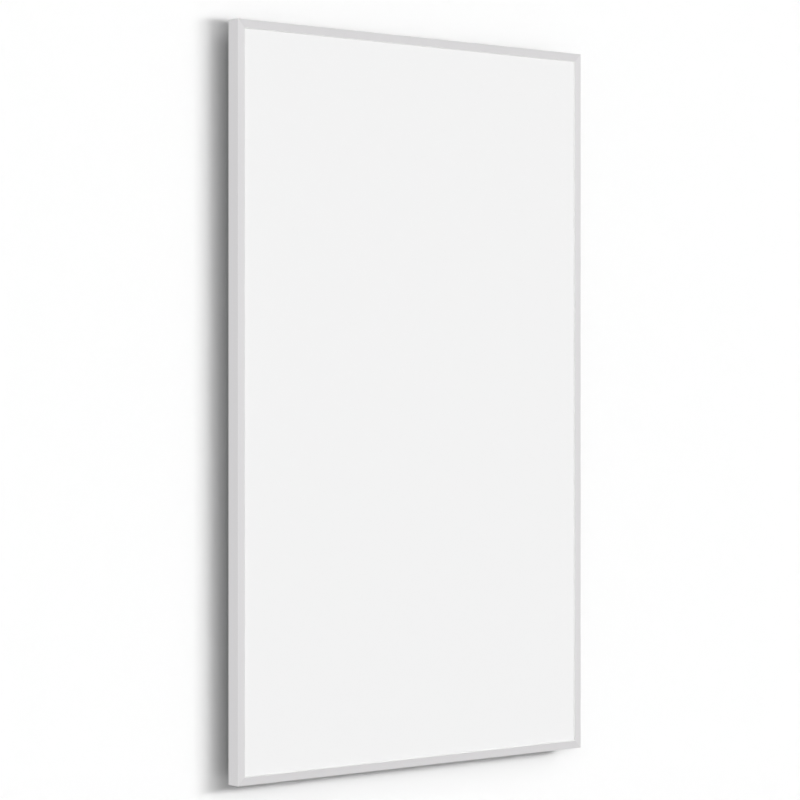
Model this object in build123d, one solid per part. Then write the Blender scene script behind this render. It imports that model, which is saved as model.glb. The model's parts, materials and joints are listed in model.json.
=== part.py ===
from build123d import *
from math import atan, cos, degrees, pi
import os

# Infrared panel heater, hung on a wall.  Millimetres, +Z up.  The wall is the plane y = 0, the
# heater's white front faces -Y, and the origin is the centre of the four wall screws.

# ------------------------------------------------------------------ driving sizes

# whole panel
PANEL_W = 600.0
PANEL_H = 1000.0
PANEL_T = 22.0

# aluminium frame extrusion: a closed chamber outside, a pocket for the panel's layers inside
FRAME_FACE = 11.0  # front face, from the outer side to the edge of the lip
FRAME_WALL_T = 1.3
FRAME_WEB_T = 1.2  # wall between the chamber and the pocket
CHAMBER_W = 4.5
FRAME_EDGE_R = 0.9
LIP_EDGE_R = 0.35

# corner keys, pushed into the chambers and held from behind
KEY_ARM = 40.0
KEY_FIT = 0.1
KEY_TIP_CHAMFER = 0.8
KEY_SCREW_AT = 28.0  # from the outside corner
KEY_SCREW_R = 1.5
KEY_SCREW_L = 9.0
KEY_SCREW_HEAD_R = 2.7

# layers in the pocket, from the front; the insulation board fills what they leave
SEAL_T = 0.5
SEAL_RECESS = 0.5  # how far the seal stays behind the lip's edge
FRONT_PLATE_T = 0.7
HEATING_BOARD_T = 1.0
HEATING_FILM_T = 0.2
COVER_SHEET_T = 0.3
REFLECTOR_T = 0.2
BACK_PLATE_T = 0.5
LAYER_FIT = 0.5  # room round the layers, for heat growth
FILM_MARGIN = 20.0  # unheated edge of the board
BUSBAR_W = 8.0

# hanger rails on the back, bent from sheet to a hat section
RAIL_INSET = 80.0  # from the panel's side to the rail's middle
RAIL_H = 26.0
RAIL_CROWN_W = 32.0
RAIL_FLANGE_W = 14.0
RAIL_T = 1.2
RAIL_BEND_R = 1.5
RAIL_END_GAP = 4.0  # from the frame's lip
RIVET_ROWS = 3
RIVET_END = 18.0  # from the rail's end
RIVET_R = 2.0
RIVET_HEAD_R = 4.0
RIVET_HEAD_H = 1.3
RIVET_DOME = 0.6  # flat top of a rivet's head, as a share of the head
RIVET_BULB_R = 2.9
RIVET_BULB_H = 3.5
RIVET_GROOVE = 1.0  # room round the rivets' tails in the insulation

# keyholes in the rails, and the buttons on the wall that they hang on
BUTTON_INSET = 80.0  # from the panel's top or bottom edge to the button
LIFT = 14.0  # how far the panel rises until the heads meet the round entries
NECK_R = 4.0
NECK_PLAY = 0.3
HEAD_R = 7.0
HEAD_T = 3.0
ENTRY_PLAY = 1.0  # round the head in the entry
HANG_PLAY = 0.5  # in front of and behind the rail's sheet, along the neck
BUTTON_FLANGE_R = 9.0
BUTTON_FLANGE_T = 3.0
WALL_SCREW_R = 2.5
WALL_SCREW_SINK_R = 4.8

# junction box, low on the back, with its cable entry facing down
BOX_FROM_BOTTOM = 200.0
BOX_W = 92.0
BOX_H = 62.0
BOX_DEPTH = 24.0
BOX_WALL_T = 2.2
BOX_CORNER_R = 5.0
LID_T = 2.4
LID_CHAMFER = 0.8
LID_SEAL_T = 1.0
LID_SEAL_W = 1.3
LID_SEAL_INSET = 0.4
BOSS_R = 4.0
BOSS_INSET = 5.8
LID_SCREW_R = 1.5
LID_SCREW_L = 10.0
LID_SCREW_HEAD_R = 2.7
LID_SCREW_HEAD_H = 1.8
BOX_SCREW_X = 36.0
BOX_SCREW_Z = 11.0
BOX_SCREW_R = 1.6
BOX_SCREW_L = 8.0
BOX_SCREW_HEAD_R = 3.1
BOX_SCREW_HEAD_H = 2.0

# terminal block: three poles, each a brass insert with two screws
POLE_PITCH = 10.0
BLOCK_DROP = 3.0  # from the box's middle to the block's
BLOCK_L = 18.0
BLOCK_OVER_POLE = 4.0  # from a pole's middle to the block's flat top
TOWER_H = 4.0
TOWER_R = 3.4
WELL_R = 2.1
BLOCK_SIDE = 2.0  # beyond the outer poles' pitch
INSERT_R = 2.3
INSERT_BORE_R = 1.0
INSERT_RECESS = 1.0
TERMINAL_SCREW_R = 1.25
TERMINAL_SCREW_L = 5.5
TERMINAL_SCREW_HEAD_R = 1.9
TERMINAL_SCREW_HEAD_H = 1.5
TERMINAL_SCREW_PITCH = 9.0
BLOCK_SCREW_R = 1.2
BLOCK_SCREW_HEAD_R = 2.0
BLOCK_SCREW_HEAD_H = 1.3

# leads, cut-outs and earth
LEAD_R = 1.2
LEAD_BEND_GAP = 0.6  # between a lead's bend and its grommet
LEAD_WAY = 0.5  # room round a lead in the insulation
CUTOUT_X = 110.0
CUTOUT_L = 20.0
CUTOUT_W = 8.0
CUTOUT_T = 4.0
CUTOUT_EDGE_R = 1.0
CUTOUT_ROOM = 0.5
LUG_L = 12.0
LUG_W = 7.0
LUG_T = 0.8
LUG_BARREL_R = 1.6
LUG_BARREL_L = 6.0
LUG_WINDOW = 1.0  # room round a lug
GROMMET_FLANGE_R = 6.5
GROMMET_FLANGE_T = 1.4
GROMMET_NECK_R = 4.5
EARTH_X = 26.0
EARTH_DROP = 4.8  # from the box's inner top to the stud's middle
EARTH_RISE = 7.0  # from the leads' way through the back plate to the stud's middle
EARTH_STUD_R = 2.0
EARTH_STUD_OVER = 1.5  # beyond the last nut
EARTH_HEAD_R = 3.6
EARTH_HEAD_H = 2.4
EARTH_NUT_AF = 7.0
EARTH_NUT_T = 3.2
EARTH_RING_R = 4.0

# cable gland
CABLE_HOLE_R = 3.2
GLAND_THREAD_R = 6.0
GLAND_IN_L = 8.0
GLAND_AF = 15.0
GLAND_HEX_T = 4.5
GLAND_NECK_R = 5.6
GLAND_NECK_L = 9.0
GLAND_NECK_WALL = 1.2
GLAND_FLOOR_T = 2.0
LOCKNUT_AF = 16.0
LOCKNUT_T = 4.0
GLAND_CAP_L = 12.0
GLAND_CAP_HEX_L = 7.0
GLAND_CAP_MOUTH_R = 3.9
GLAND_CAP_NOSE_R = 5.6

FIT = 0.05  # radial, between a fastener and its hole, and between the gland's parts
CUT_OVER = 1.0  # how far a cut runs past the face that it opens
SIDES = 6  # small fasteners, their holes and the leads are drawn as bars with this many sides
ROUND_SIDES = 24  # and the round parts of the gland and the wall buttons that nothing turns or slides on

# ------------------------------------------------------------------ places worked out from them

HALF_W = PANEL_W / 2
HALF_H = PANEL_H / 2
Y_RAIL = -(BUTTON_FLANGE_T + HANG_PLAY)  # rail's crown, wall side
Y_BACK_PLATE = Y_RAIL - RAIL_H  # back plate, wall side
Y_REAR = Y_BACK_PLATE + FRAME_WALL_T  # frame's rear face
Y_FRONT = Y_REAR - PANEL_T
POCKET_U = FRAME_WALL_T + CHAMBER_W + FRAME_WEB_T  # from the frame's outer side
CHAMBER_MID_U = FRAME_WALL_T + CHAMBER_W / 2
LAYER_W = PANEL_W - 2 * (POCKET_U + LAYER_FIT)
LAYER_H = PANEL_H - 2 * (POCKET_U + LAYER_FIT)

# front face of each layer
Y_SEAL = Y_FRONT + FRAME_WALL_T
Y_PLATE = Y_SEAL + SEAL_T
Y_BOARD = Y_PLATE + FRONT_PLATE_T
Y_FILM = Y_BOARD + HEATING_BOARD_T
Y_COVER = Y_FILM + HEATING_FILM_T
Y_REFLECTOR = Y_COVER + COVER_SHEET_T
Y_INSULATION = Y_REFLECTOR + REFLECTOR_T
INSULATION_T = Y_BACK_PLATE - BACK_PLATE_T - Y_INSULATION

RAIL_X = HALF_W - RAIL_INSET
RAIL_L = PANEL_H - 2 * (FRAME_FACE + RAIL_END_GAP)
RIVET_X = RAIL_CROWN_W / 2 + RAIL_FLANGE_W / 2  # from the rail's middle
BUTTON_Z = HALF_H - BUTTON_INSET

BOX_Z = -HALF_H + BOX_FROM_BOTTOM
Y_BOX_FLOOR = Y_BACK_PLATE + BOX_WALL_T  # inside the box
BASE_DEPTH = BOX_DEPTH - LID_T - LID_SEAL_T
Y_RIM = Y_BACK_PLATE + BASE_DEPTH
Y_LID = Y_RIM + LID_SEAL_T
BOSS_X = BOX_W / 2 - BOSS_INSET
BOSS_Z = BOX_H / 2 - BOSS_INSET

BLOCK_Z = BOX_Z - BLOCK_DROP
BLOCK_W = 2 * POLE_PITCH + 2 * (INSERT_R + BLOCK_SIDE)
LUG_H = 2 * EARTH_NUT_T  # earth lug above the box's floor, on a nut and its locknut
POLE_H = LUG_H + LUG_BARREL_R  # so that the earth lead runs level into its lug
BLOCK_H = POLE_H + BLOCK_OVER_POLE
LEAD_BEND_R = POLE_H - GROMMET_FLANGE_T - LEAD_BEND_GAP
Y_POLE = Y_BOX_FLOOR + POLE_H
INSERT_L = BLOCK_L - 2 * INSERT_RECESS
INSERT_END_Z = BLOCK_Z + INSERT_L / 2
EARTH_Z = BOX_Z + BOX_H / 2 - BOX_WALL_T - EARTH_DROP
LEAD_Z = EARTH_Z - EARTH_RISE
Y_LEAD = Y_INSULATION + LEAD_R + FIT
BUSBAR_X = LAYER_W / 2 - FILM_MARGIN - BUSBAR_W / 2
FILM_H = LAYER_H - 2 * FILM_MARGIN
LUG_BARREL_END_X = BUSBAR_X - LUG_L / 2

GLAND_Y = (Y_BOX_FLOOR + Y_LID) / 2
GLAND_Z = BOX_Z - BOX_H / 2  # box's outer face
GLAND_NECK_Z = GLAND_Z - GLAND_HEX_T

QUARTER_TURN = Rot(0, 0, 90)  # for the screws in the top and bottom rails, which lie across


# ------------------------------------------------------------------ helpers

def save(name, shape):
    """Write one sub-part, which may be several separate solids."""
    export_step(shape, os.path.join("parts", name + ".step"))


def block(x0, x1, y0, y1, z0, z1):
    """A rectangular solid from its lowest to its highest corner."""
    middle = ((x0 + x1) / 2, (y0 + y1) / 2, (z0 + z1) / 2)
    return Pos(*middle) * Box(x1 - x0, y1 - y0, z1 - z0)


def sheet(width, height, y0, thickness):
    """A flat layer, centred on the panel, whose front face is at y0."""
    return block(-width / 2, width / 2, y0, y0 + thickness, -height / 2, height / 2)


def to_wall(x, y, z):
    """A place whose local Z points at the wall."""
    return Plane(origin=(x, y, z), x_dir=(1, 0, 0), z_dir=(0, 1, 0)).location


def downwards(x, y, z):
    """A place whose local Z points down."""
    return Plane(origin=(x, y, z), x_dir=(1, 0, 0), z_dir=(0, 0, -1)).location


def turned(*points):
    """A solid turned round Z from (radius, height) points."""
    outline = Polyline(*[(radius, 0, height) for radius, height in points], close=True)
    return revolve(make_face(outline), Axis.Z)


def rod(radius, length):
    """A round bar from local Z = 0 upwards."""
    return Cylinder(radius, length, align=(Align.CENTER, Align.CENTER, Align.MIN))


def hexagon(across_flats, length):
    """A hexagon bar from local Z = 0 upwards, with flats towards local Y."""
    return extrude(RegularPolygon(across_flats / 2, 6, major_radius=False), amount=length)


def bar(radius, length, sides=SIDES):
    """A many-sided bar from local Z = 0 upwards."""
    return extrude(RegularPolygon(radius, sides), amount=length)


def bar_round(radius, length):
    """A many-sided bar whose flats touch a circle of this radius."""
    return bar(radius / cos(pi / SIDES), length)


def tapered_bar(lower_r, upper_r, length, sides=SIDES):
    """A many-sided bar whose radius changes evenly from local Z = 0 upwards."""
    lean = degrees(atan((lower_r - upper_r) * cos(pi / sides) / length))
    return extrude(RegularPolygon(lower_r, sides), amount=length, taper=lean)


def round_bar(radius, length):
    """A nearly round bar from local Z = 0 upwards."""
    return bar(radius, length, ROUND_SIDES)


def pan_screw(radius, length, head_r, head_h):
    """A screw whose head rests on local Z = 0 and whose shank goes down from there."""
    return bar(head_r, head_h) + Pos(0, 0, -length) * bar(radius, length)


def sunk_screw(radius, length, head_r, head_h):
    """A countersunk screw whose flat head ends at local Z = 0."""
    head = Pos(0, 0, -head_h) * tapered_bar(radius, head_r, head_h)
    return head + Pos(0, 0, -length) * bar(radius, length - head_h)


def four(x, z):
    """The four places at plus and minus x and z."""
    return [(sx * x, sz * z) for sz in (1, -1) for sx in (-1, 1)]


# ------------------------------------------------------------------ frame

def frame_profile():
    """The extrusion's section: X inwards from the outer side, Y from the front to the wall."""
    corner = (Align.MIN, Align.MIN)
    inner_t = PANEL_T - 2 * FRAME_WALL_T
    outside = Rectangle(FRAME_FACE, PANEL_T, align=corner)
    outer_corners = outside.vertices().sort_by(Axis.X)[:2]
    outside = fillet(outer_corners, FRAME_EDGE_R)
    lip_corner = outside.vertices().sort_by(Axis.X)[-2:].sort_by(Axis.Y)[0]
    outside = fillet(lip_corner, LIP_EDGE_R)
    chamber = Pos(FRAME_WALL_T, FRAME_WALL_T) * Rectangle(CHAMBER_W, inner_t, align=corner)
    pocket = Pos(POCKET_U, FRAME_WALL_T) * Rectangle(FRAME_FACE, inner_t, align=corner)
    return outside - chamber - pocket


def frame_member(length, reach):
    """A mitred length of the extrusion along Z, with its outer side at x = -reach."""
    profile = Pos(-reach, Y_FRONT) * frame_profile()
    length_of_profile = extrude(profile, amount=length / 2, both=True)
    end = length / 2
    outer = -CUT_OVER
    inner = FRAME_FACE + CUT_OVER
    mitred = Polyline(
        (-reach + outer, 0, outer - end),
        (-reach + inner, 0, inner - end),
        (-reach + inner, 0, end - inner),
        (-reach + outer, 0, end - outer),
        close=True,
    )
    kept = extrude(make_face(mitred), amount=-Y_FRONT + CUT_OVER, dir=(0, -1, 0))
    depth = FRAME_WALL_T + CUT_OVER
    hole = sunk_screw(KEY_SCREW_R + FIT, depth, KEY_SCREW_HEAD_R + FIT, FRAME_WALL_T)
    member = length_of_profile & kept
    for z in (end - KEY_SCREW_AT, KEY_SCREW_AT - end):
        member -= to_wall(-reach + CHAMBER_MID_U, Y_REAR, z) * hole
    return member


def corner_key():
    """The top left key: an L whose two arms fill the chambers, with a tapped hole in each."""
    near = FRAME_WALL_T + KEY_FIT
    far = FRAME_WALL_T + CHAMBER_W - KEY_FIT
    outline = Polyline(
        (near, 0, -near),
        (KEY_ARM, 0, -near),
        (KEY_ARM, 0, -far),
        (far, 0, -far),
        (far, 0, -KEY_ARM),
        (near, 0, -KEY_ARM),
        close=True,
    )
    depth = PANEL_T - 2 * (FRAME_WALL_T + KEY_FIT)
    key = extrude(make_face(outline), amount=depth, dir=(0, 1, 0))
    tips = key.edges().filter_by(Axis.Y)
    tips = [e for e in tips if max(e.center().X, -e.center().Z) > KEY_ARM - KEY_FIT]
    key = chamfer(tips, KEY_TIP_CHAMFER)
    hole = bar(KEY_SCREW_R + FIT, KEY_SCREW_L)
    key -= to_wall(CHAMBER_MID_U, depth - KEY_SCREW_L, -KEY_SCREW_AT) * hole
    key -= to_wall(KEY_SCREW_AT, depth - KEY_SCREW_L, -CHAMBER_MID_U) * QUARTER_TURN * hole
    return Pos(-HALF_W, Y_SEAL + KEY_FIT, HALF_H) * key


def make_frame():
    upright = frame_member(PANEL_H, HALF_W)
    level = frame_member(PANEL_W, HALF_H)
    save("frame_left_stile", upright)
    save("frame_right_stile", Rot(0, 180, 0) * upright)
    save("frame_top_rail", Rot(0, 90, 0) * level)
    save("frame_bottom_rail", Rot(0, -90, 0) * level)

    top_left = corner_key()
    top_right = mirror(top_left, about=Plane.YZ)
    save("corner_key_top_left", top_left)
    save("corner_key_top_right", top_right)
    save("corner_key_bottom_left", mirror(top_left, about=Plane.XY))
    save("corner_key_bottom_right", mirror(top_right, about=Plane.XY))

    screw = sunk_screw(KEY_SCREW_R, KEY_SCREW_L, KEY_SCREW_HEAD_R, FRAME_WALL_T)
    in_stiles = four(HALF_W - CHAMBER_MID_U, HALF_H - KEY_SCREW_AT)
    in_rails = four(HALF_W - KEY_SCREW_AT, HALF_H - CHAMBER_MID_U)
    screws = [to_wall(x, Y_REAR, z) * screw for x, z in in_stiles]
    screws += [to_wall(x, Y_REAR, z) * QUARTER_TURN * screw for x, z in in_rails]
    save("corner_key_screws", Compound(screws))


# ------------------------------------------------------------------ layers of the panel

def lug_windows():
    """Cuts through the thin sheets over the busbars, where the lugs sit."""
    half_l = LUG_L / 2 + LUG_WINDOW
    half_w = LUG_W / 2 + LUG_WINDOW
    y0 = Y_COVER - CUT_OVER
    y1 = Y_INSULATION + CUT_OVER
    z0 = LEAD_Z - half_w
    z1 = LEAD_Z + half_w
    return [block(x - half_l, x + half_l, y0, y1, z0, z1) for x in (-BUSBAR_X, BUSBAR_X)]


def rivet_lines():
    """The middles of both flanges of both rails."""
    return [side * (RAIL_X + flange * RIVET_X) for side in (-1, 1) for flange in (-1, 1)]


def rivet_places():
    """Even rows of rivets along the flanges, from end to end."""
    first = RAIL_L / 2 - RIVET_END
    rows = [first - 2 * first * row / (RIVET_ROWS - 1) for row in range(RIVET_ROWS)]
    return [(x, z) for z in rows for x in rivet_lines()]


def box_screw_places():
    return [(x, BOX_Z + z) for x, z in four(BOX_SCREW_X, BOX_SCREW_Z)]


def lead_path(side):
    """From the block's outer pole up, through the back plate, and out along the insulation."""
    x = side * POLE_PITCH
    return FilletPolyline(
        (x, Y_POLE, INSERT_END_Z),
        (x, Y_POLE, LEAD_Z),
        (x, Y_LEAD, LEAD_Z),
        (side * (CUTOUT_X - CUTOUT_L / 2), Y_LEAD, LEAD_Z),
        radius=LEAD_BEND_R,
    )


def lead_along(path):
    """A lead that follows a path."""
    start = Plane(origin=path @ 0, z_dir=path % 0)
    return sweep(start * RegularPolygon(LEAD_R, SIDES), path=path)


def insulation_board():
    """The mineral board, with room for what lies in it or reaches into it."""
    board = sheet(LAYER_W, LAYER_H, Y_INSULATION, INSULATION_T)
    front = Y_INSULATION - CUT_OVER
    rear = Y_INSULATION + INSULATION_T + CUT_OVER

    def room(x, z, half_l, half_w, y0, y1):
        return block(x - half_l, x + half_l, y0, y1, z - half_w, z + half_w)

    groove_x = RIVET_BULB_R + RIVET_GROOVE
    groove_depth = RIVET_BULB_H + RIVET_GROOVE
    for x in rivet_lines():
        board -= room(x, 0, groove_x, LAYER_H, Y_BACK_PLATE - BACK_PLATE_T - groove_depth, rear)
    half = BOX_SCREW_R + LEAD_WAY
    for x, z in box_screw_places():
        board -= room(x, z, half, half, Y_BOX_FLOOR - BOX_SCREW_L - LEAD_WAY, rear)
    half = EARTH_HEAD_R + LEAD_WAY
    depth = BACK_PLATE_T + EARTH_HEAD_H + LEAD_WAY
    board -= room(EARTH_X, EARTH_Z, half, half, Y_BACK_PLATE - depth, rear)

    half_way = LEAD_R + LEAD_WAY
    run_end_x = LUG_BARREL_END_X
    for side in (-1, 1):
        half = GROMMET_FLANGE_R + LEAD_WAY
        board -= room(side * POLE_PITCH, LEAD_Z, half, half_way, front, rear)
        board -= room(side * POLE_PITCH, LEAD_Z, half, half, Y_BACK_PLATE - depth, rear)
        middle_x = side * (POLE_PITCH + run_end_x) / 2
        half = (run_end_x - POLE_PITCH) / 2
        board -= room(middle_x, LEAD_Z, half, half_way, front, Y_LEAD + half_way)
        half_l = CUTOUT_L / 2 + CUTOUT_ROOM
        half_w = CUTOUT_W / 2 + CUTOUT_ROOM
        y1 = Y_INSULATION + CUTOUT_T + CUTOUT_ROOM
        board -= room(side * CUTOUT_X, LEAD_Z, half_l, half_w, front, y1)
        half_l = LUG_L / 2 + LUG_WINDOW
        half_w = LUG_W / 2 + LUG_WINDOW
        y1 = Y_LEAD + LUG_BARREL_R + LEAD_WAY
        board -= room(side * BUSBAR_X, LEAD_Z, half_l, half_w, front, y1)
    return board


def back_plate():
    """Galvanised sheet, with the holes for rivets, box screws, leads and earth."""
    plate = sheet(LAYER_W, LAYER_H, Y_BACK_PLATE - BACK_PLATE_T, BACK_PLATE_T)
    holes = [(x, z, RIVET_R + FIT) for x, z in rivet_places()]
    holes += [(x, z, BOX_SCREW_R + FIT) for x, z in box_screw_places()]
    holes += [(x, LEAD_Z, GROMMET_NECK_R + FIT) for x in (-POLE_PITCH, POLE_PITCH)]
    holes += [(EARTH_X, EARTH_Z, EARTH_STUD_R + FIT)]
    length = BACK_PLATE_T + 2 * CUT_OVER
    for x, z, radius in holes:
        plate -= to_wall(x, Y_BACK_PLATE - BACK_PLATE_T - CUT_OVER, z) * bar(radius, length)
    return plate


def make_layers():
    opening_w = PANEL_W - 2 * (FRAME_FACE - SEAL_RECESS)
    opening_h = PANEL_H - 2 * (FRAME_FACE - SEAL_RECESS)
    seal = sheet(LAYER_W, LAYER_H, Y_SEAL, SEAL_T)
    opening = sheet(opening_w, opening_h, Y_SEAL - CUT_OVER, SEAL_T + 2 * CUT_OVER)
    save("front_seal", seal - opening)
    save("front_plate", sheet(LAYER_W, LAYER_H, Y_PLATE, FRONT_PLATE_T))
    save("heating_board", sheet(LAYER_W, LAYER_H, Y_BOARD, HEATING_BOARD_T))
    save("heating_film", sheet(2 * BUSBAR_X - BUSBAR_W, FILM_H, Y_FILM, HEATING_FILM_T))
    busbar = sheet(BUSBAR_W, FILM_H, Y_FILM, HEATING_FILM_T)
    save("busbar_left", Pos(-BUSBAR_X, 0, 0) * busbar)
    save("busbar_right", Pos(BUSBAR_X, 0, 0) * busbar)
    windows = lug_windows()
    save("cover_sheet", sheet(LAYER_W, LAYER_H, Y_COVER, COVER_SHEET_T) - windows)
    save("reflector_foil", sheet(LAYER_W, LAYER_H, Y_REFLECTOR, REFLECTOR_T) - windows)
    save("insulation_board", insulation_board())
    save("back_plate", back_plate())


# ------------------------------------------------------------------ leads and cut-outs

def busbar_lug(side):
    """A tinned tab on the busbar with a barrel towards the lead."""
    x = side * BUSBAR_X
    half = LUG_L / 2
    tab = block(x - half, x + half, Y_COVER, Y_COVER + LUG_T, LEAD_Z - LUG_W / 2, LEAD_Z + LUG_W / 2)
    axis = Plane(origin=(side * LUG_BARREL_END_X, Y_LEAD, LEAD_Z), z_dir=(side, 0, 0))
    return tab + axis.location * bar(LUG_BARREL_R, LUG_BARREL_L)


def make_leads():
    for side, hand, wire in ((-1, "left", "live"), (1, "right", "neutral")):
        save("lead_" + wire, lead_along(lead_path(side)))
        x = side * CUTOUT_X
        half_l = CUTOUT_L / 2
        half_w = CUTOUT_W / 2
        case = block(
            x - half_l,
            x + half_l,
            Y_INSULATION,
            Y_INSULATION + CUTOUT_T,
            LEAD_Z - half_w,
            LEAD_Z + half_w,
        )
        upper_edges = case.faces().sort_by(Axis.Y)[-1].edges().filter_by(Axis.X)
        save("thermal_cutout_" + hand, fillet(upper_edges, CUTOUT_EDGE_R))
        start_x = CUTOUT_X + half_l
        tail_at = Plane(origin=(side * start_x, Y_LEAD, LEAD_Z), z_dir=(side, 0, 0))
        tail = tail_at.location * bar(LEAD_R, LUG_BARREL_END_X - start_x)
        save("lead_" + wire + "_tail", tail)
    save("busbar_lugs", Compound([busbar_lug(-1), busbar_lug(1)]))

    through = BACK_PLATE_T + BOX_WALL_T + 2 * FIT
    flange = bar(GROMMET_FLANGE_R, GROMMET_FLANGE_T)
    grommet = flange + Pos(0, 0, GROMMET_FLANGE_T) * bar(GROMMET_NECK_R, through)
    grommet += Pos(0, 0, GROMMET_FLANGE_T + through) * flange
    grommet -= bar_round(LEAD_R + FIT, through + 2 * GROMMET_FLANGE_T)
    y0 = Y_BACK_PLATE - BACK_PLATE_T - FIT - GROMMET_FLANGE_T
    pair = [to_wall(x, y0, LEAD_Z) * grommet for x in (-POLE_PITCH, POLE_PITCH)]
    save("lead_grommets", Compound(pair))


def make_earth():
    """The stud through the back plate, with the earth lug clamped between its nuts."""
    barrel_end_x = EARTH_X - EARTH_RING_R - LUG_BARREL_L
    path = FilletPolyline(
        (0, Y_POLE, INSERT_END_Z),
        (0, Y_POLE, EARTH_Z),
        (barrel_end_x, Y_POLE, EARTH_Z),
        radius=LEAD_BEND_R,
    )
    save("lead_earth", lead_along(path))

    y_lug = Y_BOX_FLOOR + LUG_H
    y_stud_end = y_lug + LUG_T + EARTH_NUT_T + EARTH_STUD_OVER
    ring = to_wall(EARTH_X, y_lug, EARTH_Z) * bar(EARTH_RING_R, LUG_T)
    tab = block(
        barrel_end_x,
        EARTH_X,
        y_lug,
        y_lug + LUG_T,
        EARTH_Z - LUG_BARREL_R,
        EARTH_Z + LUG_BARREL_R,
    )
    barrel_at = Plane(origin=(barrel_end_x, Y_POLE, EARTH_Z), z_dir=(1, 0, 0))
    lug = ring + tab + barrel_at.location * bar(LUG_BARREL_R, LUG_BARREL_L)
    hole = bar(EARTH_STUD_R + FIT, LUG_T + 2 * CUT_OVER)
    stud_hole = to_wall(EARTH_X, y_lug - CUT_OVER, EARTH_Z) * hole
    save("earth_lug", lug - stud_hole)

    y_plate = Y_BACK_PLATE - BACK_PLATE_T
    head = to_wall(EARTH_X, y_plate - EARTH_HEAD_H, EARTH_Z) * bar(EARTH_HEAD_R, EARTH_HEAD_H)
    shank = to_wall(EARTH_X, y_plate, EARTH_Z) * bar(EARTH_STUD_R, y_stud_end - y_plate)
    save("earth_stud", head + shank)

    nut = hexagon(EARTH_NUT_AF, EARTH_NUT_T) - bar(EARTH_STUD_R + FIT, EARTH_NUT_T)
    seats = (Y_BOX_FLOOR, Y_BOX_FLOOR + EARTH_NUT_T, y_lug + LUG_T)
    save("earth_nuts", Compound([to_wall(EARTH_X, y, EARTH_Z) * nut for y in seats]))


# ------------------------------------------------------------------ terminal block

def terminal_screw_places():
    half = TERMINAL_SCREW_PITCH / 2
    return [(pole * POLE_PITCH, BLOCK_Z + z) for pole in (-1, 0, 1) for z in (-half, half)]


def block_screw_places():
    return [(x, BLOCK_Z) for x in (-POLE_PITCH / 2, POLE_PITCH / 2)]


def make_terminal_block():
    half_l = BLOCK_L / 2
    y_top = Y_BOX_FLOOR + BLOCK_H
    body = block(-BLOCK_W / 2, BLOCK_W / 2, Y_BOX_FLOOR, y_top, BLOCK_Z - half_l, BLOCK_Z + half_l)
    for x, z in terminal_screw_places():
        body += to_wall(x, Y_POLE, z) * bar(TOWER_R, y_top + TOWER_H - Y_POLE)
    for x, z in terminal_screw_places():
        body -= to_wall(x, Y_POLE, z) * bar(WELL_R, y_top + TOWER_H + CUT_OVER - Y_POLE)
    inserts = []
    for pole in (-1, 0, 1):
        x = pole * POLE_PITCH
        bore = downwards(x, Y_POLE, BLOCK_Z + half_l + CUT_OVER)
        body -= bore * bar(INSERT_R + FIT, BLOCK_L + 2 * CUT_OVER)
        at = downwards(x, Y_POLE, INSERT_END_Z)
        inserts.append(at * (bar(INSERT_R, INSERT_L) - bar(INSERT_BORE_R, INSERT_L)))
    for x, z in block_screw_places():
        body -= to_wall(x, Y_BOX_FLOOR, z) * bar(BLOCK_SCREW_R + FIT, BLOCK_H)
    save("terminal_block", body)

    tap = bar(TERMINAL_SCREW_R + FIT, INSERT_R + CUT_OVER)
    tapped = [to_wall(x, Y_POLE, z) * tap for x, z in terminal_screw_places()]
    save("terminal_inserts", Compound(inserts) - tapped)

    screw = pan_screw(TERMINAL_SCREW_R, TERMINAL_SCREW_L, TERMINAL_SCREW_HEAD_R, TERMINAL_SCREW_HEAD_H)
    y_head = Y_POLE + TERMINAL_SCREW_L
    screws = [to_wall(x, y_head, z) * screw for x, z in terminal_screw_places()]
    save("terminal_screws", Compound(screws))

    length = BLOCK_H + BOX_WALL_T / 2
    screw = pan_screw(BLOCK_SCREW_R, length, BLOCK_SCREW_HEAD_R, BLOCK_SCREW_HEAD_H)
    screws = [to_wall(x, y_top, z) * screw for x, z in block_screw_places()]
    save("terminal_block_screws", Compound(screws))


# ------------------------------------------------------------------ junction box

def box_outline(inset):
    """The box's rounded outline, drawn inwards by inset."""
    radius = max(BOX_CORNER_R - inset, BOX_WALL_T / 2)
    return RectangleRounded(BOX_W - 2 * inset, BOX_H - 2 * inset, radius)


def boss_places():
    return [(x, BOX_Z + z) for x, z in four(BOSS_X, BOSS_Z)]


def junction_box_base():
    shell = extrude(box_outline(0), amount=BASE_DEPTH)
    room = Pos(0, 0, BOX_WALL_T) * extrude(box_outline(BOX_WALL_T), amount=BASE_DEPTH)
    bosses = [Pos(x, z, 0) * bar(BOSS_R, BASE_DEPTH) for x, z in four(BOSS_X, BOSS_Z)]
    base = shell - (room - bosses)
    base = to_wall(0, Y_BACK_PLATE, BOX_Z) * base
    for x, z in boss_places():
        depth = LID_SCREW_L
        base -= to_wall(x, Y_RIM - depth, z) * bar(LID_SCREW_R + FIT, depth + CUT_OVER)
    through = BOX_WALL_T + 2 * CUT_OVER
    y0 = Y_BACK_PLATE - CUT_OVER
    for x, z in box_screw_places():
        base -= to_wall(x, y0, z) * bar(BOX_SCREW_R + FIT, through)
    for x in (-POLE_PITCH, POLE_PITCH):
        base -= to_wall(x, y0, LEAD_Z) * bar(GROMMET_NECK_R + FIT, through)
    base -= to_wall(EARTH_X, y0, EARTH_Z) * bar(EARTH_STUD_R + FIT, through)
    for x, z in block_screw_places():
        depth = BOX_WALL_T / 2
        base -= to_wall(x, Y_BOX_FLOOR - depth, z) * bar(BLOCK_SCREW_R + FIT, depth + CUT_OVER)
    entry = downwards(0, GLAND_Y, GLAND_Z + BOX_WALL_T + CUT_OVER)
    return base - entry * round_bar(GLAND_THREAD_R + FIT, through)


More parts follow.
